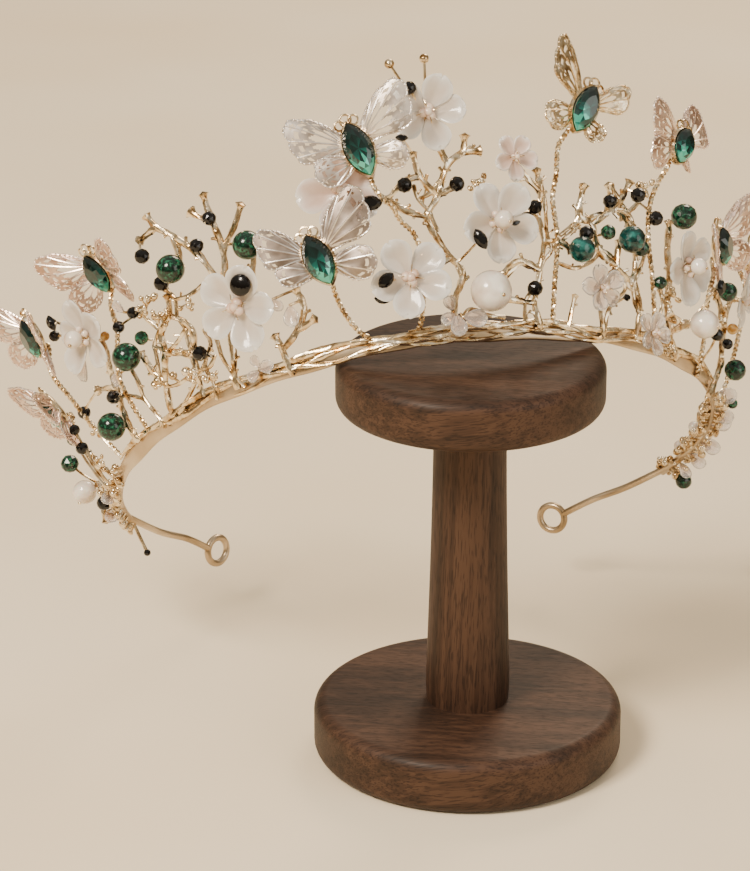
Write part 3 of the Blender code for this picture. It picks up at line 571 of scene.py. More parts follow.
class Shape:
    """Points and faces gathered for one piece, with named values that its material reads."""

    def __init__(self):
        self.points = []
        self.faces = []
        self.values = {}

    def skin(self, rings, closed=False, tips=(), staggered=False):
        """Skins a row of equal closed rings; tips are the points that close its ends."""
        start = len(self.points)
        across = len(rings[0])
        for ring in rings:
            self.points += ring
        rows = len(rings)
        for i in range(rows if closed else rows - 1):
            for k in range(across):
                a = start + i * across + k
                b = start + i * across + (k + 1) % across
                c = start + (i + 1) % rows * across + (k + 1) % across
                d = start + (i + 1) % rows * across + k
                self.faces += [(a, b, d), (b, c, d)] if staggered else [(a, b, c, d)]
        for tip, row in zip(tips, (0, rows - 1)):
            self.points.append(tip)
            hub = len(self.points) - 1
            for k in range(across):
                self.faces.append((hub, start + row * across + k, start + row * across + (k + 1) % across))


def add_piece(name, shape, finish, replaces=(), pose=POSE, crisp=False):
    """Makes a shape into a piece of the tiara that rides on the one body."""
    mesh = bpy.data.meshes.new(name)
    mesh.from_pydata([(pose @ point) * MM for point in shape.points], [], shape.faces)
    for key, values in shape.values.items():
        domain = "FACE" if len(values) == len(shape.faces) else "POINT"
        mesh.attributes.new(key, "FLOAT", domain).data.foreach_set("value", values)
    bm = bmesh.new()
    bm.from_mesh(mesh)
    bmesh.ops.recalc_face_normals(bm, faces=bm.faces)
    bm.to_mesh(mesh)
    bm.free()
    if crisp:
        mesh.shade_flat()
    else:
        mesh.shade_smooth()
        mesh.set_sharp_from_angle(angle=radians(50.0))
    mesh.materials.append(FINISHES[finish])
    made = bpy.data.objects.new(name, mesh)
    bpy.context.scene.collection.objects.link(made)
    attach(made, "root")
    if replaces:
        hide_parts(*replaces)
    return made


def crown_radius(height, proud):
    return BAND_RADIUS + proud / cos(radians(FLARE)) + height * tan(radians(FLARE))


def sight_ray(across, up):
    """The line of sight at a front-view place, from the eye, in the world."""
    down = radians(VIEW_DOWN)
    aim = Vector((across, 0.0, STAND_TOP)) + Vector((0.0, sin(down), cos(down))) * up
    return aim - EYE


def at_depth(across, up, behind):
    """The point of a sight line that lies behind the stand's axis by a distance."""
    ray = sight_ray(across, up)
    return TO_TIARA @ (EYE + ray * ((behind - EYE.y) / ray.y))


def seen(across, up, proud=0.0):
    """Where the line of sight at a front-view place meets the crown's cone."""
    eye = TO_TIARA @ EYE
    ray = TO_TIARA @ (EYE + sight_ray(across, up)) - eye

    def outside(reach):
        point = eye + ray * reach
        return hypot(point.x, point.y) - crown_radius(point.z, proud)

    first, step, steps = 0.86, 0.005, 70
    reaches = [first + step * i for i in range(steps)]
    crossing = [reach for reach in reaches if outside(reach) < 0.0]
    if not crossing:
        return eye + ray * min(reaches, key=outside)
    near, far = crossing[0] - step, crossing[0]
    for _ in range(20):
        middle = (near + far) / 2
        if outside(middle) > 0.0:
            near = middle
        else:
            far = middle
    return eye + ray * near


def outward(point):
    """The crown cone's outward direction at a point of the tiara's frame."""
    flat = Vector((point.x, point.y, 0.0)).normalized()
    return flat * cos(radians(FLARE)) - Vector((0, 0, 1)) * sin(radians(FLARE))


def seated(across, up, height):
    """A point straight out from the front of the twigs at a front-view place."""
    twig = seen(across, up, TWIG_LAYER)
    return twig + outward(twig) * (SEAT_LAYER - TWIG_LAYER + height)


def in_photo(across, down):
    """The front-view millimetres of a photo pixel."""
    return (across - PHOTO_ACROSS) / PIXELS_PER_MM, (PHOTO_DOWN - down) / PIXELS_PER_MM


def frame_at(point, facing):
    """Axes with Z along facing and Y as near up the crown as it goes."""
    z = facing.normalized()
    x = Vector((0, 0, 1)).cross(z).normalized()
    return Matrix.Translation(point) @ Matrix((x, z.cross(x), z)).transposed().to_4x4()


def on_band(turn, height, proud):
    """A point on the strip: degrees from the front, up its width, and out from its middle."""
    flare = radians(FLARE)
    radial = Vector((sin(radians(turn)), -cos(radians(turn)), 0.0))
    rise = radial * sin(flare) + Vector((0, 0, cos(flare)))
    out = radial * cos(flare) - Vector((0, 0, sin(flare)))
    return radial * BAND_RADIUS + rise * height + out * proud


def flowing(points, step=0.9, closed=False):
    """A smooth line through the points, with a point about every step."""
    count = len(points)
    line = []
    for i in range(count if closed else count - 1):
        near = [j % count if closed else min(max(j, 0), count - 1) for j in (i - 1, i, i + 1, i + 2)]
        a, b, c, d = (points[j] for j in near)
        parts = max(2, round((c - b).length / step))
        for k in range(parts):
            t = k / parts
            curve = b * 2 + (c - a) * t + (a * 2 - b * 5 + c * 4 - d) * t ** 2
            line.append((curve + (b * 3 - a - c * 3 + d) * t ** 3) / 2)
    return line if closed else line + [points[-1]]


def circle_steps(count, shift=0.0):
    return [2 * pi * (i + shift) / count for i in range(count)]


def sweep(shape, path, radius, sides=7, closed=False, bark=0.0):
    """Sweeps a round section along a path; radius is one number or one for each point."""
    count = len(path)
    radii = radius if isinstance(radius, list) else [radius] * count
    rings = []
    across = None
    for i, point in enumerate(path):
        before = path[i - 1] if closed or i else point
        after = path[(i + 1) % count] if closed or i < count - 1 else point
        ahead = (after - before).normalized()
        if across is None:
            across = ahead.orthogonal().normalized()
        across = (across - ahead * across.dot(ahead)).normalized()
        rise = ahead.cross(across)
        ring = []
        for t in circle_steps(sides):
            spoke = across * cos(t) + rise * sin(t)
            groove = bark * (sin(3 * t + 0.4 * i) + 0.9 * noise.noise((point + spoke * 1.5) * 1.1))
            ring.append(point + spoke * radii[i] * (1 + groove))
        rings.append(ring)
    if closed:
        shape.skin(rings, closed=True)
    else:
        ends = ((path[0] - path[1]).normalized(), (path[-1] - path[-2]).normalized())
        tips = (path[0] + ends[0] * radii[0] * 0.5, path[-1] + ends[1] * radii[-1] * 0.5)
        shape.skin(rings, tips=tips)


def ball(shape, centre, radius, sides=12, rows=8, axes=None, flat=1.0, staggered=False):
    """A round ball, or one cut in staggered facets, about its axes."""
    axes = axes or frame_at(centre, outward(centre))
    turn = axes.to_3x3()
    rings = []
    for row in range(1, rows):
        polar = pi * row / rows
        shift = row / 2 if staggered else 0.0
        rings.append([centre + turn @ Vector((sin(polar) * cos(t), sin(polar) * sin(t), cos(polar) * flat))
                      * radius for t in circle_steps(sides, shift)])
    pole = turn @ Vector((0, 0, radius * flat))
    shape.skin(rings, tips=(centre + pole, centre - pole), staggered=staggered)


def navette_ring(axes, half_length, half_width, height, count, shift):
    """A pointed oval of two arcs round the stone, its points on Y."""
    radius = (half_length ** 2 + half_width ** 2) / (2 * half_width)
    sweep_angle = atan2(half_length, radius - half_width)
    ring = []
    for i in range(count):
        share = ((i + shift) / count) % 1.0
        side = 1 if share < 0.5 else -1
        turn = sweep_angle * (4 * (share % 0.5) - 1) * side
        x = (radius * cos(turn) - (radius - half_width)) * side
        ring.append(axes @ Vector((x, radius * sin(turn), height)))
    return ring


def cut_navette(shape, axes, half_length, half_width, height):
    """A navette with a flat table, kite facets, a girdle and a pointed back."""
    count = 14
    levels = ((0.3, -0.35, 0.0), (1.0, 0.34, 0.0), (1.0, 0.46, 0.0), (0.82, 0.78, 0.5), (0.56, 1.0, 1.0))
    rings = [navette_ring(axes, half_length * share, half_width * share, height * rise, count, shift)
             for share, rise, shift in levels]
    tips = (axes @ Vector((0, 0, -0.4 * height)), axes @ Vector((0, 0, height)))
    shape.skin(rings, tips=tips, staggered=True)


def petal(shape, axes, angle, reach, start=0.14, width=0.385, cup=0.24, notch=0.13, thick=1.0):
    """One cupped petal with a thick rounded rim and a notch at its tip."""
    rows, columns = 16, 12
    along = Vector((cos(angle), sin(angle), 0.0))
    side = Vector((-sin(angle), cos(angle), 0.0))
    # The rim values, high at the thick rim and towards the tip, lighten the petal's colour: a painted
    # highlight
    rims = shape.values.setdefault("rim", [])

    def surface(u, v, face):
        half = width * reach * sin(pi * (0.06 + 0.93 * u) ** 1.35) ** 0.55
        dent = 1.0 - notch * exp(-(v / 0.3) ** 2) * u ** 4
        edge = max(abs(v), u ** 1.5)
        body = thick * max(0.0, 1.0 - edge ** 6) ** 0.5 * (0.4 + 0.9 * edge ** 3)
        lift = cup * reach * (0.75 * u ** 1.7 + 0.4 * v * v * sin(pi * u)) - 0.5 * u ** 8
        lift -= 0.03 * reach * exp(-(v / 0.2) ** 2) * sin(pi * u)
        flat = along * (start + (1 - start) * u * dent) * reach + side * v * half
        return axes @ (flat + Vector((0, 0, lift + face * body / 2))), edge

    rings = []
    for i in range(rows + 1):
        u = i / rows
        loop = [(2 * k / columns - 1, 1) for k in range(columns + 1)]
        loop += [(1 - 2 * k / columns, -1) for k in range(1, columns)]
        made = [surface(u, v, face) for v, face in loop]
        rings.append([point for point, _ in made])
        rims += [edge ** 4 * (0.3 + 0.7 * u) for _, edge in made]
    centres = [sum(ring, Vector()) / len(ring) for ring in (rings[0], rings[-1])]
    shape.skin(rings, tips=centres)
    rims += [0.0, 1.0]


# Pieces


def turned(node, finish, profile, sides):
    """A piece turned about the stand's axis from its radii and heights, from the bottom up."""
    shape = Shape()
    rings = [[Vector((r * cos(t), r * sin(t), z)) for t in circle_steps(sides)] for r, z in profile]
    shape.skin(rings, tips=[Vector((0, 0, profile[end][1])) for end in (0, -1)])
    add_piece("walnut_" + node, shape, finish, (node,), Matrix.Identity(4))


def turned_disc(node):
    """A turned disc with rounded rims, as wide and thick as the node."""
    low, high = (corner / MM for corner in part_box(node))
    flat = (high.x - low.x) / 2 - DISC_EDGE
    arc = [radians(90.0 * i / 8) for i in range(9)]
    profile = [(flat + DISC_EDGE * sin(a), low.z + DISC_EDGE * (1 - cos(a))) for a in arc]
    profile += [(flat + DISC_EDGE * cos(a), high.z - DISC_EDGE * (1 - sin(a))) for a in arc]
    turned(node, "walnut_disc", profile, 128)


def turned_stem():
    """The tapered column, closed up to the discs with a fine cove at both joints."""
    low, high = (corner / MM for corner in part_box("stand_stem"))
    foot_radius = (high.x - low.x) / 2
    profile = []
    steps = 20
    for i in range(steps + 1):
        share = i / steps
        cove = 0.5 * exp(-share * 30) + 0.5 * exp(-(1 - share) * 30)
        radius = STEM_HEAD_RADIUS + (foot_radius - STEM_HEAD_RADIUS) * (1 - share) ** 1.6 - cove
        profile.append((radius, low.z - STEM_JOINT + (high.z - low.z + 2 * STEM_JOINT) * share))
    turned("stand_stem", "walnut_stem", profile, 64)


def band():
    """The flat strip with softened edges, its drawn wire ends and their rings."""
    shape = Shape()
    rings = []
    stations = 150
    for i in range(stations + 1):
        turn = STRIP_HALF_SWEEP * (2 * i / stations - 1)
        taper = min(1.0, (stations / 2 - abs(i - stations / 2)) / 25)
        taper = taper * taper * (3 - 2 * taper)
        wave = 0.25 * sin(radians(turn * 9)) + 0.2 * sin(radians(turn * 23))
        half_width = WIRE_RADIUS + (STRIP_WIDTH * 0.45 - WIRE_RADIUS) * taper + wave * taper
        half_thick = STRIP_THICKNESS / 2 + (WIRE_RADIUS - STRIP_THICKNESS / 2) * (1 - taper)
        ring = []
        for t in circle_steps(16):
            x, y = cos(t), sin(t)
            height = (abs(x) ** 0.55) * (1 if x > 0 else -1) * half_width
            ring.append(on_band(turn, height, (abs(y) ** 0.7) * (1 if y > 0 else -1) * half_thick))
        rings.append(ring)
    shape.skin(rings, tips=(on_band(-STRIP_HALF_SWEEP, 0, 0), on_band(STRIP_HALF_SWEEP, 0, 0)))
    for side in (-1, 1):
        middle = Vector((side * END_RING_ACROSS, END_RING_BACK, 0.0))
        joint = Vector((side * END_RING_RADIUS * 0.75, -END_RING_RADIUS * 0.66, 0.0))
        path = [
            on_band(side * (STRIP_HALF_SWEEP - 3.0), 0.0, 0.0),
            Vector((side * 68.6, 40.8, 0.0)),
            Vector((side * 60.0, 48.6, 0.0)),
            middle + joint,
        ]
        sweep(shape, flowing(path), WIRE_RADIUS, sides=10)
        twist = Matrix.Rotation(radians(-side * END_RING_TWIST), 3, joint)
        hoop = [middle + twist @ Vector((cos(t), sin(t), 0.0)) * END_RING_RADIUS for t in circle_steps(32)]
        sweep(shape, hoop, WIRE_RADIUS, sides=10, closed=True)
    add_piece("band_strip", shape, "band", ("band",))


def band_roots(carriers):
    """Root-like cast wires that wander and cross over the strip's front."""
    shape = Shape()
    # Columns: first and last turn, height, sway, waves along the way, phase, radius
    roots = (
        (-80.0, 8.0, 1.8, 0.5, 7.0, 0.0, 0.85), (-66.0, 30.0, 0.5, 1.0, 8.0, 2.1, 0.7),
        (-44.0, 2.0, -0.9, 0.9, 5.0, 4.0, 0.55), (-10.0, 66.0, 1.8, 0.6, 7.0, 1.0, 0.8),
        (4.0, 58.0, 0.3, 1.1, 6.0, 3.4, 0.65), (-18.0, 36.0, -0.9, 0.9, 5.0, 5.2, 0.55),
    )
    for first, last, height, sway, waves, phase, radius in roots:
        steps = int((last - first) * 1.5)
        path, radii = [], []
        for i in range(steps + 1):
            share = i / steps
            swing = height + sway * sin(phase + pi * waves * share)
            crossing = 0.4 * cos(phase * 2 + pi * waves * share)
            point = on_band(first + (last - first) * share, swing, 1.0 + crossing)
            path.append(point)
            fade = min(1.0, share * 8 + 0.3, (1 - share) * 8 + 0.3)
            radii.append(radius * fade * (1 + 0.25 * noise.noise(point * 0.5)))
        sweep(shape, path, radii, sides=10, bark=0.14)
        carriers += path
    add_piece("band_roots", shape, "gold")


def twig(shape, points, radius, knob, draw, carriers):
    """One knotted branch with short spurs; a knobbed tip opens like a little trumpet."""
    path = flowing(points, 0.7)
    carriers += path
    radii = [radius * (1.0 + 0.34 * noise.noise(point * 0.42)) for point in path]
    if knob:
        for back, swell in ((4, 0.9), (3, 1.0), (2, 1.3), (1, 1.75)):
            if back < len(radii):
                radii[-back] = radius * swell
    sweep(shape, path, radii, sides=9, bark=0.15)
    for i in range(3, len(path) - 3, 4):
        if draw.random() < 0.5:
            ahead = (path[i + 1] - path[i - 1]).normalized()
            facing = outward(path[i])
            aside = ahead.cross(facing).normalized() * draw.choice((-1, 1))
            growth = (aside + ahead * 0.7 + facing * draw.uniform(-0.2, 0.5)).normalized()
            length = draw.uniform(0.7, 1.8)
            spur = [path[i], path[i] + growth * (length * 0.6 + 0.5), path[i] + growth * (length + 0.6)]
            sweep(shape, spur, [radius * 0.65, radius * 0.48, radius * 0.6], sides=6)


def sprays(carriers):
    """The cast sprays, which start behind their foot on the band, and the finer nets that lace them."""
    rows = [("cast_" + name, branches, TWIG_RADIUS, Random(number), (name,))
            for number, (name, branches) in enumerate(SPRAYS.items())]
    rows += [(name, branches, NET_RADIUS, Random(name), ()) for name, branches in NETS.items()]
    for name, branches, radius, draw, nodes in rows:
        shape = Shape()
        for order, branch in enumerate(branches):
            knob = branch[-1] == KNOB
            places = branch[:-1] if knob else branch
            points = [seen(*(place if nodes else in_photo(*place)), TWIG_LAYER) for place in places]
            if nodes and order == 0:
                foot = points[0]
                down = (foot - points[1]).normalized()
                points.insert(0, foot + down * 1.2 - outward(foot) * 0.7)
            twig(shape, points, radius, knob, draw, carriers)
        add_piece(name, shape, "gold", nodes)


def rope(shape, path):
    """Two strands of wire twisted round a path."""
    for phase in (0.0, pi):
        line = []
        across = None
        gone = 0.0
        for i, point in enumerate(path):
            ahead = (path[min(i + 1, len(path) - 1)] - path[max(i - 1, 0)]).normalized()
            across = across or ahead.orthogonal().normalized()
            across = (across - ahead * across.dot(ahead)).normalized()
            rise = ahead.cross(across)
            gone += (point - path[max(i - 1, 0)]).length
            turn = phase + 2 * pi * gone / ROPE_PITCH
            line.append(point + (across * cos(turn) + rise * sin(turn)) * ROPE_OFFSET)
        sweep(shape, line, ROPE_STRAND, sides=6)


def stem_points(row):
    """The stem from below the stone down to its foot on the band's front."""
    *upper, foot = row["stem"]
    last = seen(*foot, FOOT_LAYER - 0.9)
    points = []
    for i, place in enumerate(upper):
        if "behind" in row:
            share = (i + 1) / len(row["stem"])
            foot_behind = (POSE @ last).y
            point = at_depth(*place, row["behind"] + (foot_behind - row["behind"]) * share)
            spread = max(1.0, crown_radius(point.z, FOOT_LAYER) / hypot(point.x, point.y))
            points.append(Vector((point.x * spread, point.y * spread, point.z)))
        else:
            points.append(seen(place[0], place[1], place[2] if len(place) > 2 else STEM_LAYER))
    return points + [last]


def wing(metal, wires, outline, root, tip, headward, facing, fold, solid):
    """A stamped wing: a domed pierced plate with fine ribs, a scalloped wire rim and beading."""
    along = tip - root
    length = along.length
    side = (headward - along * headward.dot(along) / length ** 2).normalized() * length * 0.95
    side = Matrix.Rotation(radians(fold), 3, along) @ side
    normal = along.cross(side).normalized()
    if normal.dot(facing) < 0:
        normal = -normal
    ribs = 9 if length > 13.0 else 7
    columns = ribs * CELL_COLUMNS
    rim = flowing([Vector(place) for place in outline], 0.02)
    picks = [rim[round(i * (len(rim) - 1) / columns)] for i in range(columns + 1)]

    def place(i, share, lift=0.0):
        hollow = 1.0 - abs(sin(pi * i / CELL_COLUMNS))
        u, v = picks[i] * share * (1 - 0.045 * hollow * share)
        dome = sin(pi * min(1.0, share)) * sin(pi * i / columns)
        crease = 0.12 * hollow * min(1.0, 3 * share)
        return root + along * u + side * v + normal * (dome + crease + lift)

    def pierced(i, j):
        share = (j + 0.5) / WING_ROWS
        middle = (i % CELL_COLUMNS + 0.5) / CELL_COLUMNS - 0.5
        shifted = ((i + CELL_COLUMNS // 2) % CELL_COLUMNS + 0.5) / CELL_COLUMNS - 0.5
        cell = (middle / 0.36) ** 2 + ((share - 0.4) / 0.2) ** 4 < 1.0
        inner_dot = (shifted / 0.3) ** 2 + ((share - 0.69) / 0.06) ** 2 < 1.0
        middle_dot = (middle / 0.3) ** 2 + ((share - 0.8) / 0.05) ** 2 < 1.0
        outer_dot = (shifted / 0.28) ** 2 + ((share - 0.9) / 0.045) ** 2 < 1.0
        return middle_dot or outer_dot or ((cell or inner_dot) and not solid)

    first = 3
    kept = {(i, j) for i in range(columns) for j in range(first, WING_ROWS) if not pierced(i, j)}
    spots = {}
    for level in (-0.5, 0.5):
        for i in range(columns + 1):
            for j in range(first, WING_ROWS + 1):
                spots[i, j, level] = len(metal.points)
                metal.points.append(place(i, j / WING_ROWS, level * WING_THICKNESS))
    for i, j in sorted(kept):
        corners = ((i, j), (i + 1, j), (i + 1, j + 1), (i, j + 1))
        for level in (-0.5, 0.5):
            metal.faces.append(tuple(spots[a, b, level] for a, b in corners))
        beside = ((i, j - 1), (i + 1, j), (i, j + 1), (i - 1, j))
        for k, other in enumerate(beside):
            if other not in kept:
                a, b = corners[k], corners[(k + 1) % 4]
                metal.faces.append((spots[*a, -0.5], spots[*b, -0.5], spots[*b, 0.5], spots[*a, 0.5]))
    for i in range(0, columns + 1, CELL_COLUMNS):
        rib = [place(i, j / WING_ROWS, 0.1) for j in range(1, WING_ROWS + 1)]
        sweep(wires, rib, [WING_RIB - 0.005 * j for j in range(len(rib))], sides=5)
    edge = [place(i, 1.0) for i in range(columns + 1)]
    sweep(wires, edge, WING_RIM, sides=6)
    gone = 0.0
    for before, after in zip(edge, edge[1:]):
        gone += (after - before).length
        if gone > BEADING_STEP:
            gone = 0.0
            ball(wires, after + normal * 0.1, BEADING_RADIUS, sides=6, rows=4)


def butterfly(name, row):
    """Wings, bezel with head loops, rope stem and the navette stone of one butterfly."""
    place = at_depth if "behind" in row else seen
    depth = row["behind"] if "behind" in row else row["proud"]
    head = place(*row["head"], depth)
    tail = place(*row["tail"], depth)
    middle = (head + tail) / 2
    headward = (head - tail).normalized()
    facing = outward(middle)
    facing = (facing - headward * facing.dot(headward)).normalized()
    sideways = headward.cross(facing)
    axes = Matrix.Translation(middle) @ Matrix((sideways, headward, facing)).transposed().to_4x4()
    half_length = (head - tail).length / 2

    metal = Shape()
    wires = Shape()
    names = ("fore_left", "fore_right", "hind_left", "hind_right")
    for part, (across, up, lift) in zip(names, row.get("wings", OPEN_WINGS)):
        fore = part.startswith("fore")
        flank = STONE_WIDTH * (-0.32 if part.endswith("left") else 0.32)
        root = axes @ Vector((flank, half_length * (0.3 if fore else -0.3),
                              -BEZEL_THICKNESS * (0.5 if fore else 0.65)))
        tip = seen(across, up, row["proud"] + lift) if "wings" in row else axes @ Vector((across, up, lift))
        fold = row.get(part.split("_")[1] + "_fold", 0.0)
        outline = FORE_WING if fore else HIND_WING
        wing(metal, wires, outline, root, tip, headward, facing, fold, row.get("solid", False))
    add_piece("wings_" + name, metal, row["finish"], ("butterfly_" + name,))
    add_piece("wing_wires_" + name, wires, WING_WIRES[row["finish"]])

    setting = Shape()
    rims = [navette_ring(axes, half_length + grow, STONE_WIDTH / 2 + grow, height, 40, 0.0)
            for grow, height in ((-0.8, -BEZEL_THICKNESS), (0.5, -BEZEL_THICKNESS * 0.6), (BEZEL_RIM, 0.0),
                                 (0.5, 0.6), (0.35, 1.1), (0.1, 1.0))]
    setting.skin(rims, tips=(axes @ Vector((0, 0, -BEZEL_THICKNESS)), axes @ Vector((0, 0, 0.1))))
    for k, spread in enumerate((-1.9, 0.0, 1.9)):
        loop_radius = 1.5 if k == 1 else 1.25
        centre = axes @ Vector((spread, half_length + BEZEL_RIM + 0.2 - 0.35 * abs(spread), -0.4))
        loop = [centre + (sideways * cos(t) + headward * sin(t)) * loop_radius for t in circle_steps(16)]
        sweep(setting, loop, HEAD_LOOP_WIRE, sides=6, closed=True)
    start = axes @ Vector((0.0, -half_length * 0.55, -BEZEL_THICKNESS * 0.6))
    drop = axes @ Vector((0.0, -half_length * 0.8, -BEZEL_THICKNESS - 1.2))
    path = flowing([start, drop] + stem_points(row), 0.45)
    rope(setting, path)
    add_piece("setting_" + name, setting, "gold", ("butterfly_" + name,))

    stone = Shape()
    cut_navette(stone, axes @ Matrix.Translation((0, 0, 0.2)), half_length, STONE_WIDTH / 2,
                STONE_HEIGHT)
    draw = Random(name)
    stone.values["facet"] = [draw.random() for _ in stone.faces]
    # Painted light: the stone's colour is darker towards the head and lighter towards the tail
    painted_light_lengths = [(axes.inverted() @ point).y / half_length for point in stone.points]
    stone.values["along"] = [0.5 - 0.5 * share for share in painted_light_lengths]
    add_piece("emerald_" + name, stone, "emerald", ("stone_" + name,), crisp=True)


def flower(name, row):
    """Five petals round a heart of cream beads and wire stamens, on its post."""
    across, up, reach, turn, post, finish = row
    place = seated(across, up, post)
    axes = frame_at(place, outward(place))
    draw = Random(name)
    shape = Shape()
    for k in range(5):
        tilt = Matrix.Rotation(radians(draw.uniform(-9, 9)), 4, "X")
        tilt = tilt @ Matrix.Rotation(radians(draw.uniform(-9, 9)), 4, "Y")
        angle = radians(turn + 72.0 * k + draw.uniform(-5, 5))
        size = reach * draw.uniform(0.95, 1.05)
        petal(shape, axes @ tilt, angle, size, cup=0.26 * draw.uniform(0.7, 1.3))
    add_piece("petals_" + name, shape, finish, ("flower_" + name,))

    wires = Shape()
    sweep(wires, [axes @ Vector((0, 0, -post - 0.5)), axes @ Vector((0, 0, 0.9))], 0.8, sides=8)
    ball(wires, axes @ Vector((0, 0, 0.5)), reach * 0.13, flat=0.6)
    for k in range(4):
        angle = radians(turn + 36.0 + 90.0 * k)
        aside = Vector((cos(angle), sin(angle), 0.0)) * reach
        arc = [axes @ Vector((0, 0, 1.2)), axes @ (aside * 0.16 + Vector((0, 0, 2.6))),
               axes @ (aside * 0.3 + Vector((0, 0, 2.2)))]
        sweep(wires, flowing(arc, 0.5), 0.16, sides=5)
    add_piece("stamens_" + name, wires, "gold")

    hearts = Shape()
    if "flower_pearl_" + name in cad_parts:
        ring, radius = 5, 0.09
    else:
        ring, radius = 3, 0.12
        ball(hearts, axes @ Vector((0, 0, 2.4)), reach * 0.11, sides=14, rows=9)
    for k in range(ring):
        angle = radians(turn + 360.0 * k / ring)
        aside = Vector((cos(angle), sin(angle), 0.0)) * reach * (0.11 if ring == 3 else 0.2)
        ball(hearts, axes @ (aside + Vector((0, 0, 1.5))), reach * radius, sides=14, rows=9)
    add_piece("heart_" + name, hearts, "heart")


def carried_balls(pins):
    """Round stones that stand for the model's own, with the head of the pin that holds each pearl."""
    for node in sorted(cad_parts):
        if not node.startswith(("bead_", "pearl_", "flower_pearl_")):
            continue
        low, high = (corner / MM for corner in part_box(node))
        centre = TO_TIARA @ ((low + high) / 2)
        radius = max(high - low) / 2
        pearl, cut = "pearl" in node, node in CUT_BEADS
        sides, rings = (36, 24) if pearl else (12, 8) if cut else (32, 22)
        finish = "pearl" if pearl else "teal" if "teal" in node else "green"
        shape = Shape()
        ball(shape, centre, radius, sides, rings, staggered=cut)
        add_piece(("cut_" if cut else "round_") + node, shape, finish, (node,), crisp=cut)
        if pearl:
            spot = (outward(centre) + Vector((0.45, 0.0, -0.4))).normalized()
            ball(pins, centre + spot * radius, PEARL_PIN_HEAD, sides=10, rows=6)


def small_balls(name, rows, finish, carriers, pins, facets):
    """Small round stones placed by the photo, each on a wire pin from the nearest twig."""
    shape = Shape()
    sides, rings = (9, 6) if facets else (18, 12)
    for across, down, radius_px, *lift in rows:
        radius = radius_px / PIXELS_PER_MM
        centre = seated(*in_photo(across, down), radius * 0.6 + sum(lift))
        ball(shape, centre, radius, sides, rings, staggered=facets)
        pin(pins, centre, carriers)
    add_piece(name, shape, finish, crisp=facets)


def pin(pins, place, carriers):
    """A short wire from a stone to the nearest point of what carries it."""
    nearest = min(carriers, key=lambda point: (point - place).length_squared)
    bow = (place + nearest) / 2 + outward(place) * 0.5
    sweep(pins, flowing([place, bow, nearest], 0.8), PIN_RADIUS, sides=6)


def jet_navettes(carriers, pins):
    shape = Shape()
    for across, down, half_length, half_width, slant, lift in JET_NAVETTES:
        place = seated(*in_photo(across, down), lift)
        axes = frame_at(place, outward(place)) @ Matrix.Rotation(radians(slant), 4, "Z")
        cut_navette(shape, axes, half_length / PIXELS_PER_MM, half_width / PIXELS_PER_MM, JET_HEIGHT)
        pin(pins, axes @ Vector((0, 0, -0.4)), carriers)
    across, down, radius, lift = CABOCHON
    cabochon = seated(*in_photo(across, down), lift)
    ball(shape, cabochon, radius, sides=24, rows=12, flat=0.5)
    pin(pins, cabochon, carriers)
    add_piece("jet_navettes", shape, "jet", crisp=True)


def loose_petals(carriers, pins):
    shape = Shape()
    for across, down, reach, direction, lift in LOOSE_PETALS:
        place = seated(*in_photo(across, down), lift - 1.0)
        axes = frame_at(place, outward(place))
        petal(shape, axes, radians(direction), reach / PIXELS_PER_MM, start=0.05, notch=0.03, thick=0.8)
        pin(pins, place, carriers)
    add_piece("loose_petals", shape, "clear")


def nugget_clusters(carriers, pins):
    """Small gold nuggets, each wired to the middle of its cluster."""
    shape = Shape()
    draw = Random(11)
    for across, down, count, spread in NUGGETS:
        middle = seated(*in_photo(across, down), 0.4)
        pin(pins, middle, carriers)
        for _ in range(count):
            aside = (draw.uniform(-spread, spread), draw.uniform(-spread, spread))
            pixel = in_photo(across + aside[0] * 0.8, down + aside[1] * 0.8)
            place = seated(*pixel, draw.uniform(-0.4, 1.4))
            axes = frame_at(place, outward(place) + Vector((draw.uniform(-1, 1), 0, draw.uniform(-1, 1))))
            radius, flat = draw.uniform(0.55, 1.1), draw.uniform(0.5, 1.0)
            ball(shape, place, radius, sides=9, rows=6, axes=axes, flat=flat)
            sweep(pins, [middle, (middle + place) / 2 + outward(place) * 0.3, place], 0.28, sides=5)
    add_piece("gold_nuggets", shape, "gold")


def arm_ornaments(pins):
    """Stones, petals and nuggets wired to the band's two arms."""
    stones = {}
    for turn, height, out, radius, finish in ARM_STONES:
        shape = stones.setdefault(finish, Shape())
        centre = on_band(turn, height, out)
        ball(shape, centre, radius, sides=10, rows=7, staggered=finish in ("green", "jet"))
        foot = on_band(max(-STRIP_HALF_SWEEP, min(STRIP_HALF_SWEEP, turn)), 0.0, 0.0)
        sweep(pins, [foot, (foot + centre) / 2, centre], 0.5, sides=6)
    for finish, shape in stones.items():
        add_piece("arm_stones_" + finish, shape, finish, crisp=finish in ("green", "jet"))

    petals = Shape()
    for turn, height, reach, direction in ARM_PETALS:
        tangent = Vector((cos(radians(turn)), sin(radians(turn)), 0.0))
        axes = frame_at(on_band(turn, height, 0.3), tangent)
        petal(petals, axes, radians(direction), reach, start=0.05, notch=0.03, thick=0.8)
    add_piece("arm_petals", petals, "clear")

    nuggets = Shape()
    draw = Random(5)
    for first, last, count, least, most in ARM_NUGGETS:
        for _ in range(count):
            turn, height, out = draw.uniform(first, last), draw.uniform(-2.6, 2.6), draw.uniform(least, most)
            foot = on_band(turn, height * 0.5, 0.0)
            place = on_band(turn, height, out)
            ball(nuggets, place, draw.uniform(0.7, 1.35), sides=9, rows=6, flat=draw.uniform(0.6, 1.0))
            sweep(pins, [foot, (foot + place) / 2, place], 0.4, sides=5)
    add_piece("arm_nuggets", nuggets, "gold")


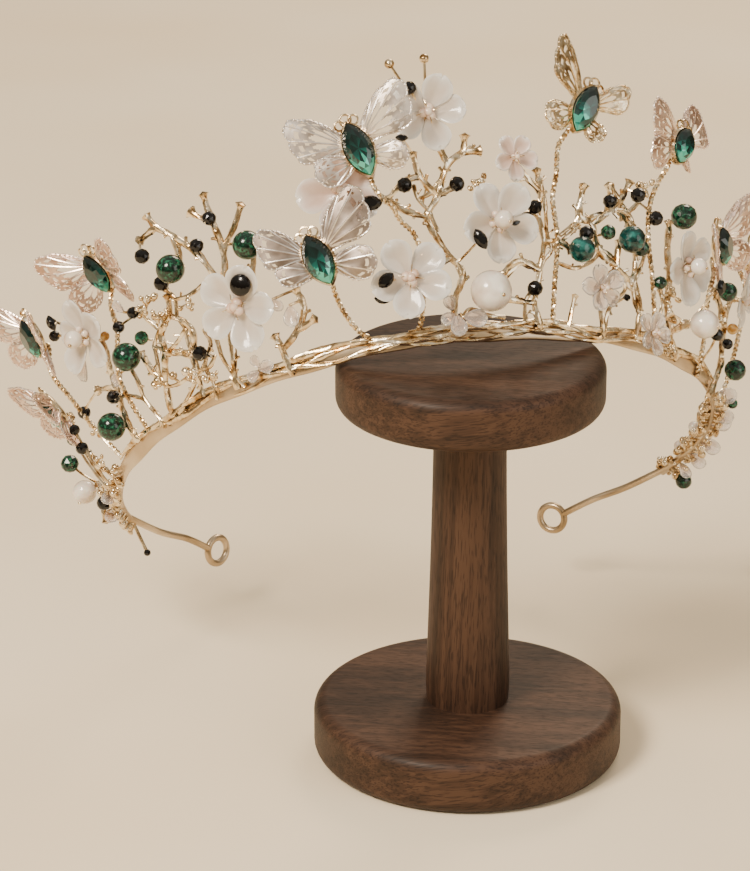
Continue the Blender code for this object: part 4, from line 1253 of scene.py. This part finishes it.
def build_tiara():
    carriers = []
    pins = Shape()
    band()
    band_roots(carriers)
    sprays(carriers)
    for name, row in BUTTERFLIES.items():
        butterfly(name, row)
    for name, row in FLOWERS.items():
        flower(name, row)
    carried_balls(pins)
    small_balls("jet_beads", JET_BEADS, "jet", carriers, pins, True)
    small_balls("small_green_beads", GREEN_BEADS, "green", carriers, pins, True)
    small_balls("amber_beads", AMBER_BEADS, "amber", carriers, pins, False)
    small_balls("gold_beads", GOLD_BEADS, "gold", carriers, pins, False)
    jet_navettes(carriers, pins)
    loose_petals(carriers, pins)
    nugget_clusters(carriers, pins)
    arm_ornaments(pins)
    add_piece("stone_pins", pins, "gold")


def build_stand():
    turned_disc("stand_base")
    turned_disc("stand_top")
    turned_stem()


# Floor, light and camera


def build_stage():
    bm = bmesh.new()
    bmesh.ops.create_grid(bm, x_segments=1, y_segments=1, size=4.0)
    mesh = bpy.data.meshes.new("floor")
    bm.to_mesh(mesh)
    bm.free()
    mesh.materials.append(FINISHES["paper"])
    floor = bpy.data.objects.new("floor", mesh)
    bpy.context.scene.collection.objects.link(floor)

    world = bpy.data.worlds.new("studio")
    world.use_nodes = True
    tree = world.node_tree
    place = add_node(tree, "TexCoord", {})
    split = add_node(tree, "SeparateXYZ", {}, {"Vector": place.outputs["Generated"]})
    sky = add_node(tree, "ValToRGB", {
        "stops": [(0.0, "#8A7458"), (0.4, "#D6C4A8"), (0.75, "#FFF4E2")]}, {"Fac": split.outputs["Z"]})
    tree.links.new(sky.outputs["Color"], tree.nodes["Background"].inputs["Color"])
    tree.nodes["Background"].inputs["Strength"].default_value = 0.62
    bpy.context.scene.world = world

    # Columns: name, place, size, power, colour; each one looks at the crown
    lamps = (
        ("key", (-0.75, -0.75, 1.15), 0.45, 30.0, "#FFF1DE"),
        ("fill", (1.2, -0.9, 0.7), 1.0, 8.0, "#FFF9F0"),
        ("rim", (0.35, 1.1, 0.9), 0.5, 8.0, "#FFE9CE"),
    )
    aim = Vector((0.0, 0.02, 0.12))
    for name, spot, size, power, colour in lamps:
        light = bpy.data.lights.new(name, "AREA")
        light.size = size
        light.energy = power
        light.color = linear(colour)[:3]
        lamp = bpy.data.objects.new(name, light)
        lamp.location = spot
        lamp.rotation_euler = (aim - Vector(spot)).to_track_quat("-Z", "Y").to_euler()
        bpy.context.scene.collection.objects.link(lamp)


def build_camera():
    lens = bpy.data.cameras.new("camera")
    lens.lens = FOCAL_LENGTH
    lens.sensor_width = SENSOR
    camera = bpy.data.objects.new("camera", lens)
    camera.location = EYE * MM
    camera.rotation_euler = (radians(90.0 - VIEW_DOWN), 0.0, 0.0)
    bpy.context.scene.collection.objects.link(camera)
    bpy.context.scene.camera = camera


build_stage()
build_camera()
build_stand()
build_tiara()
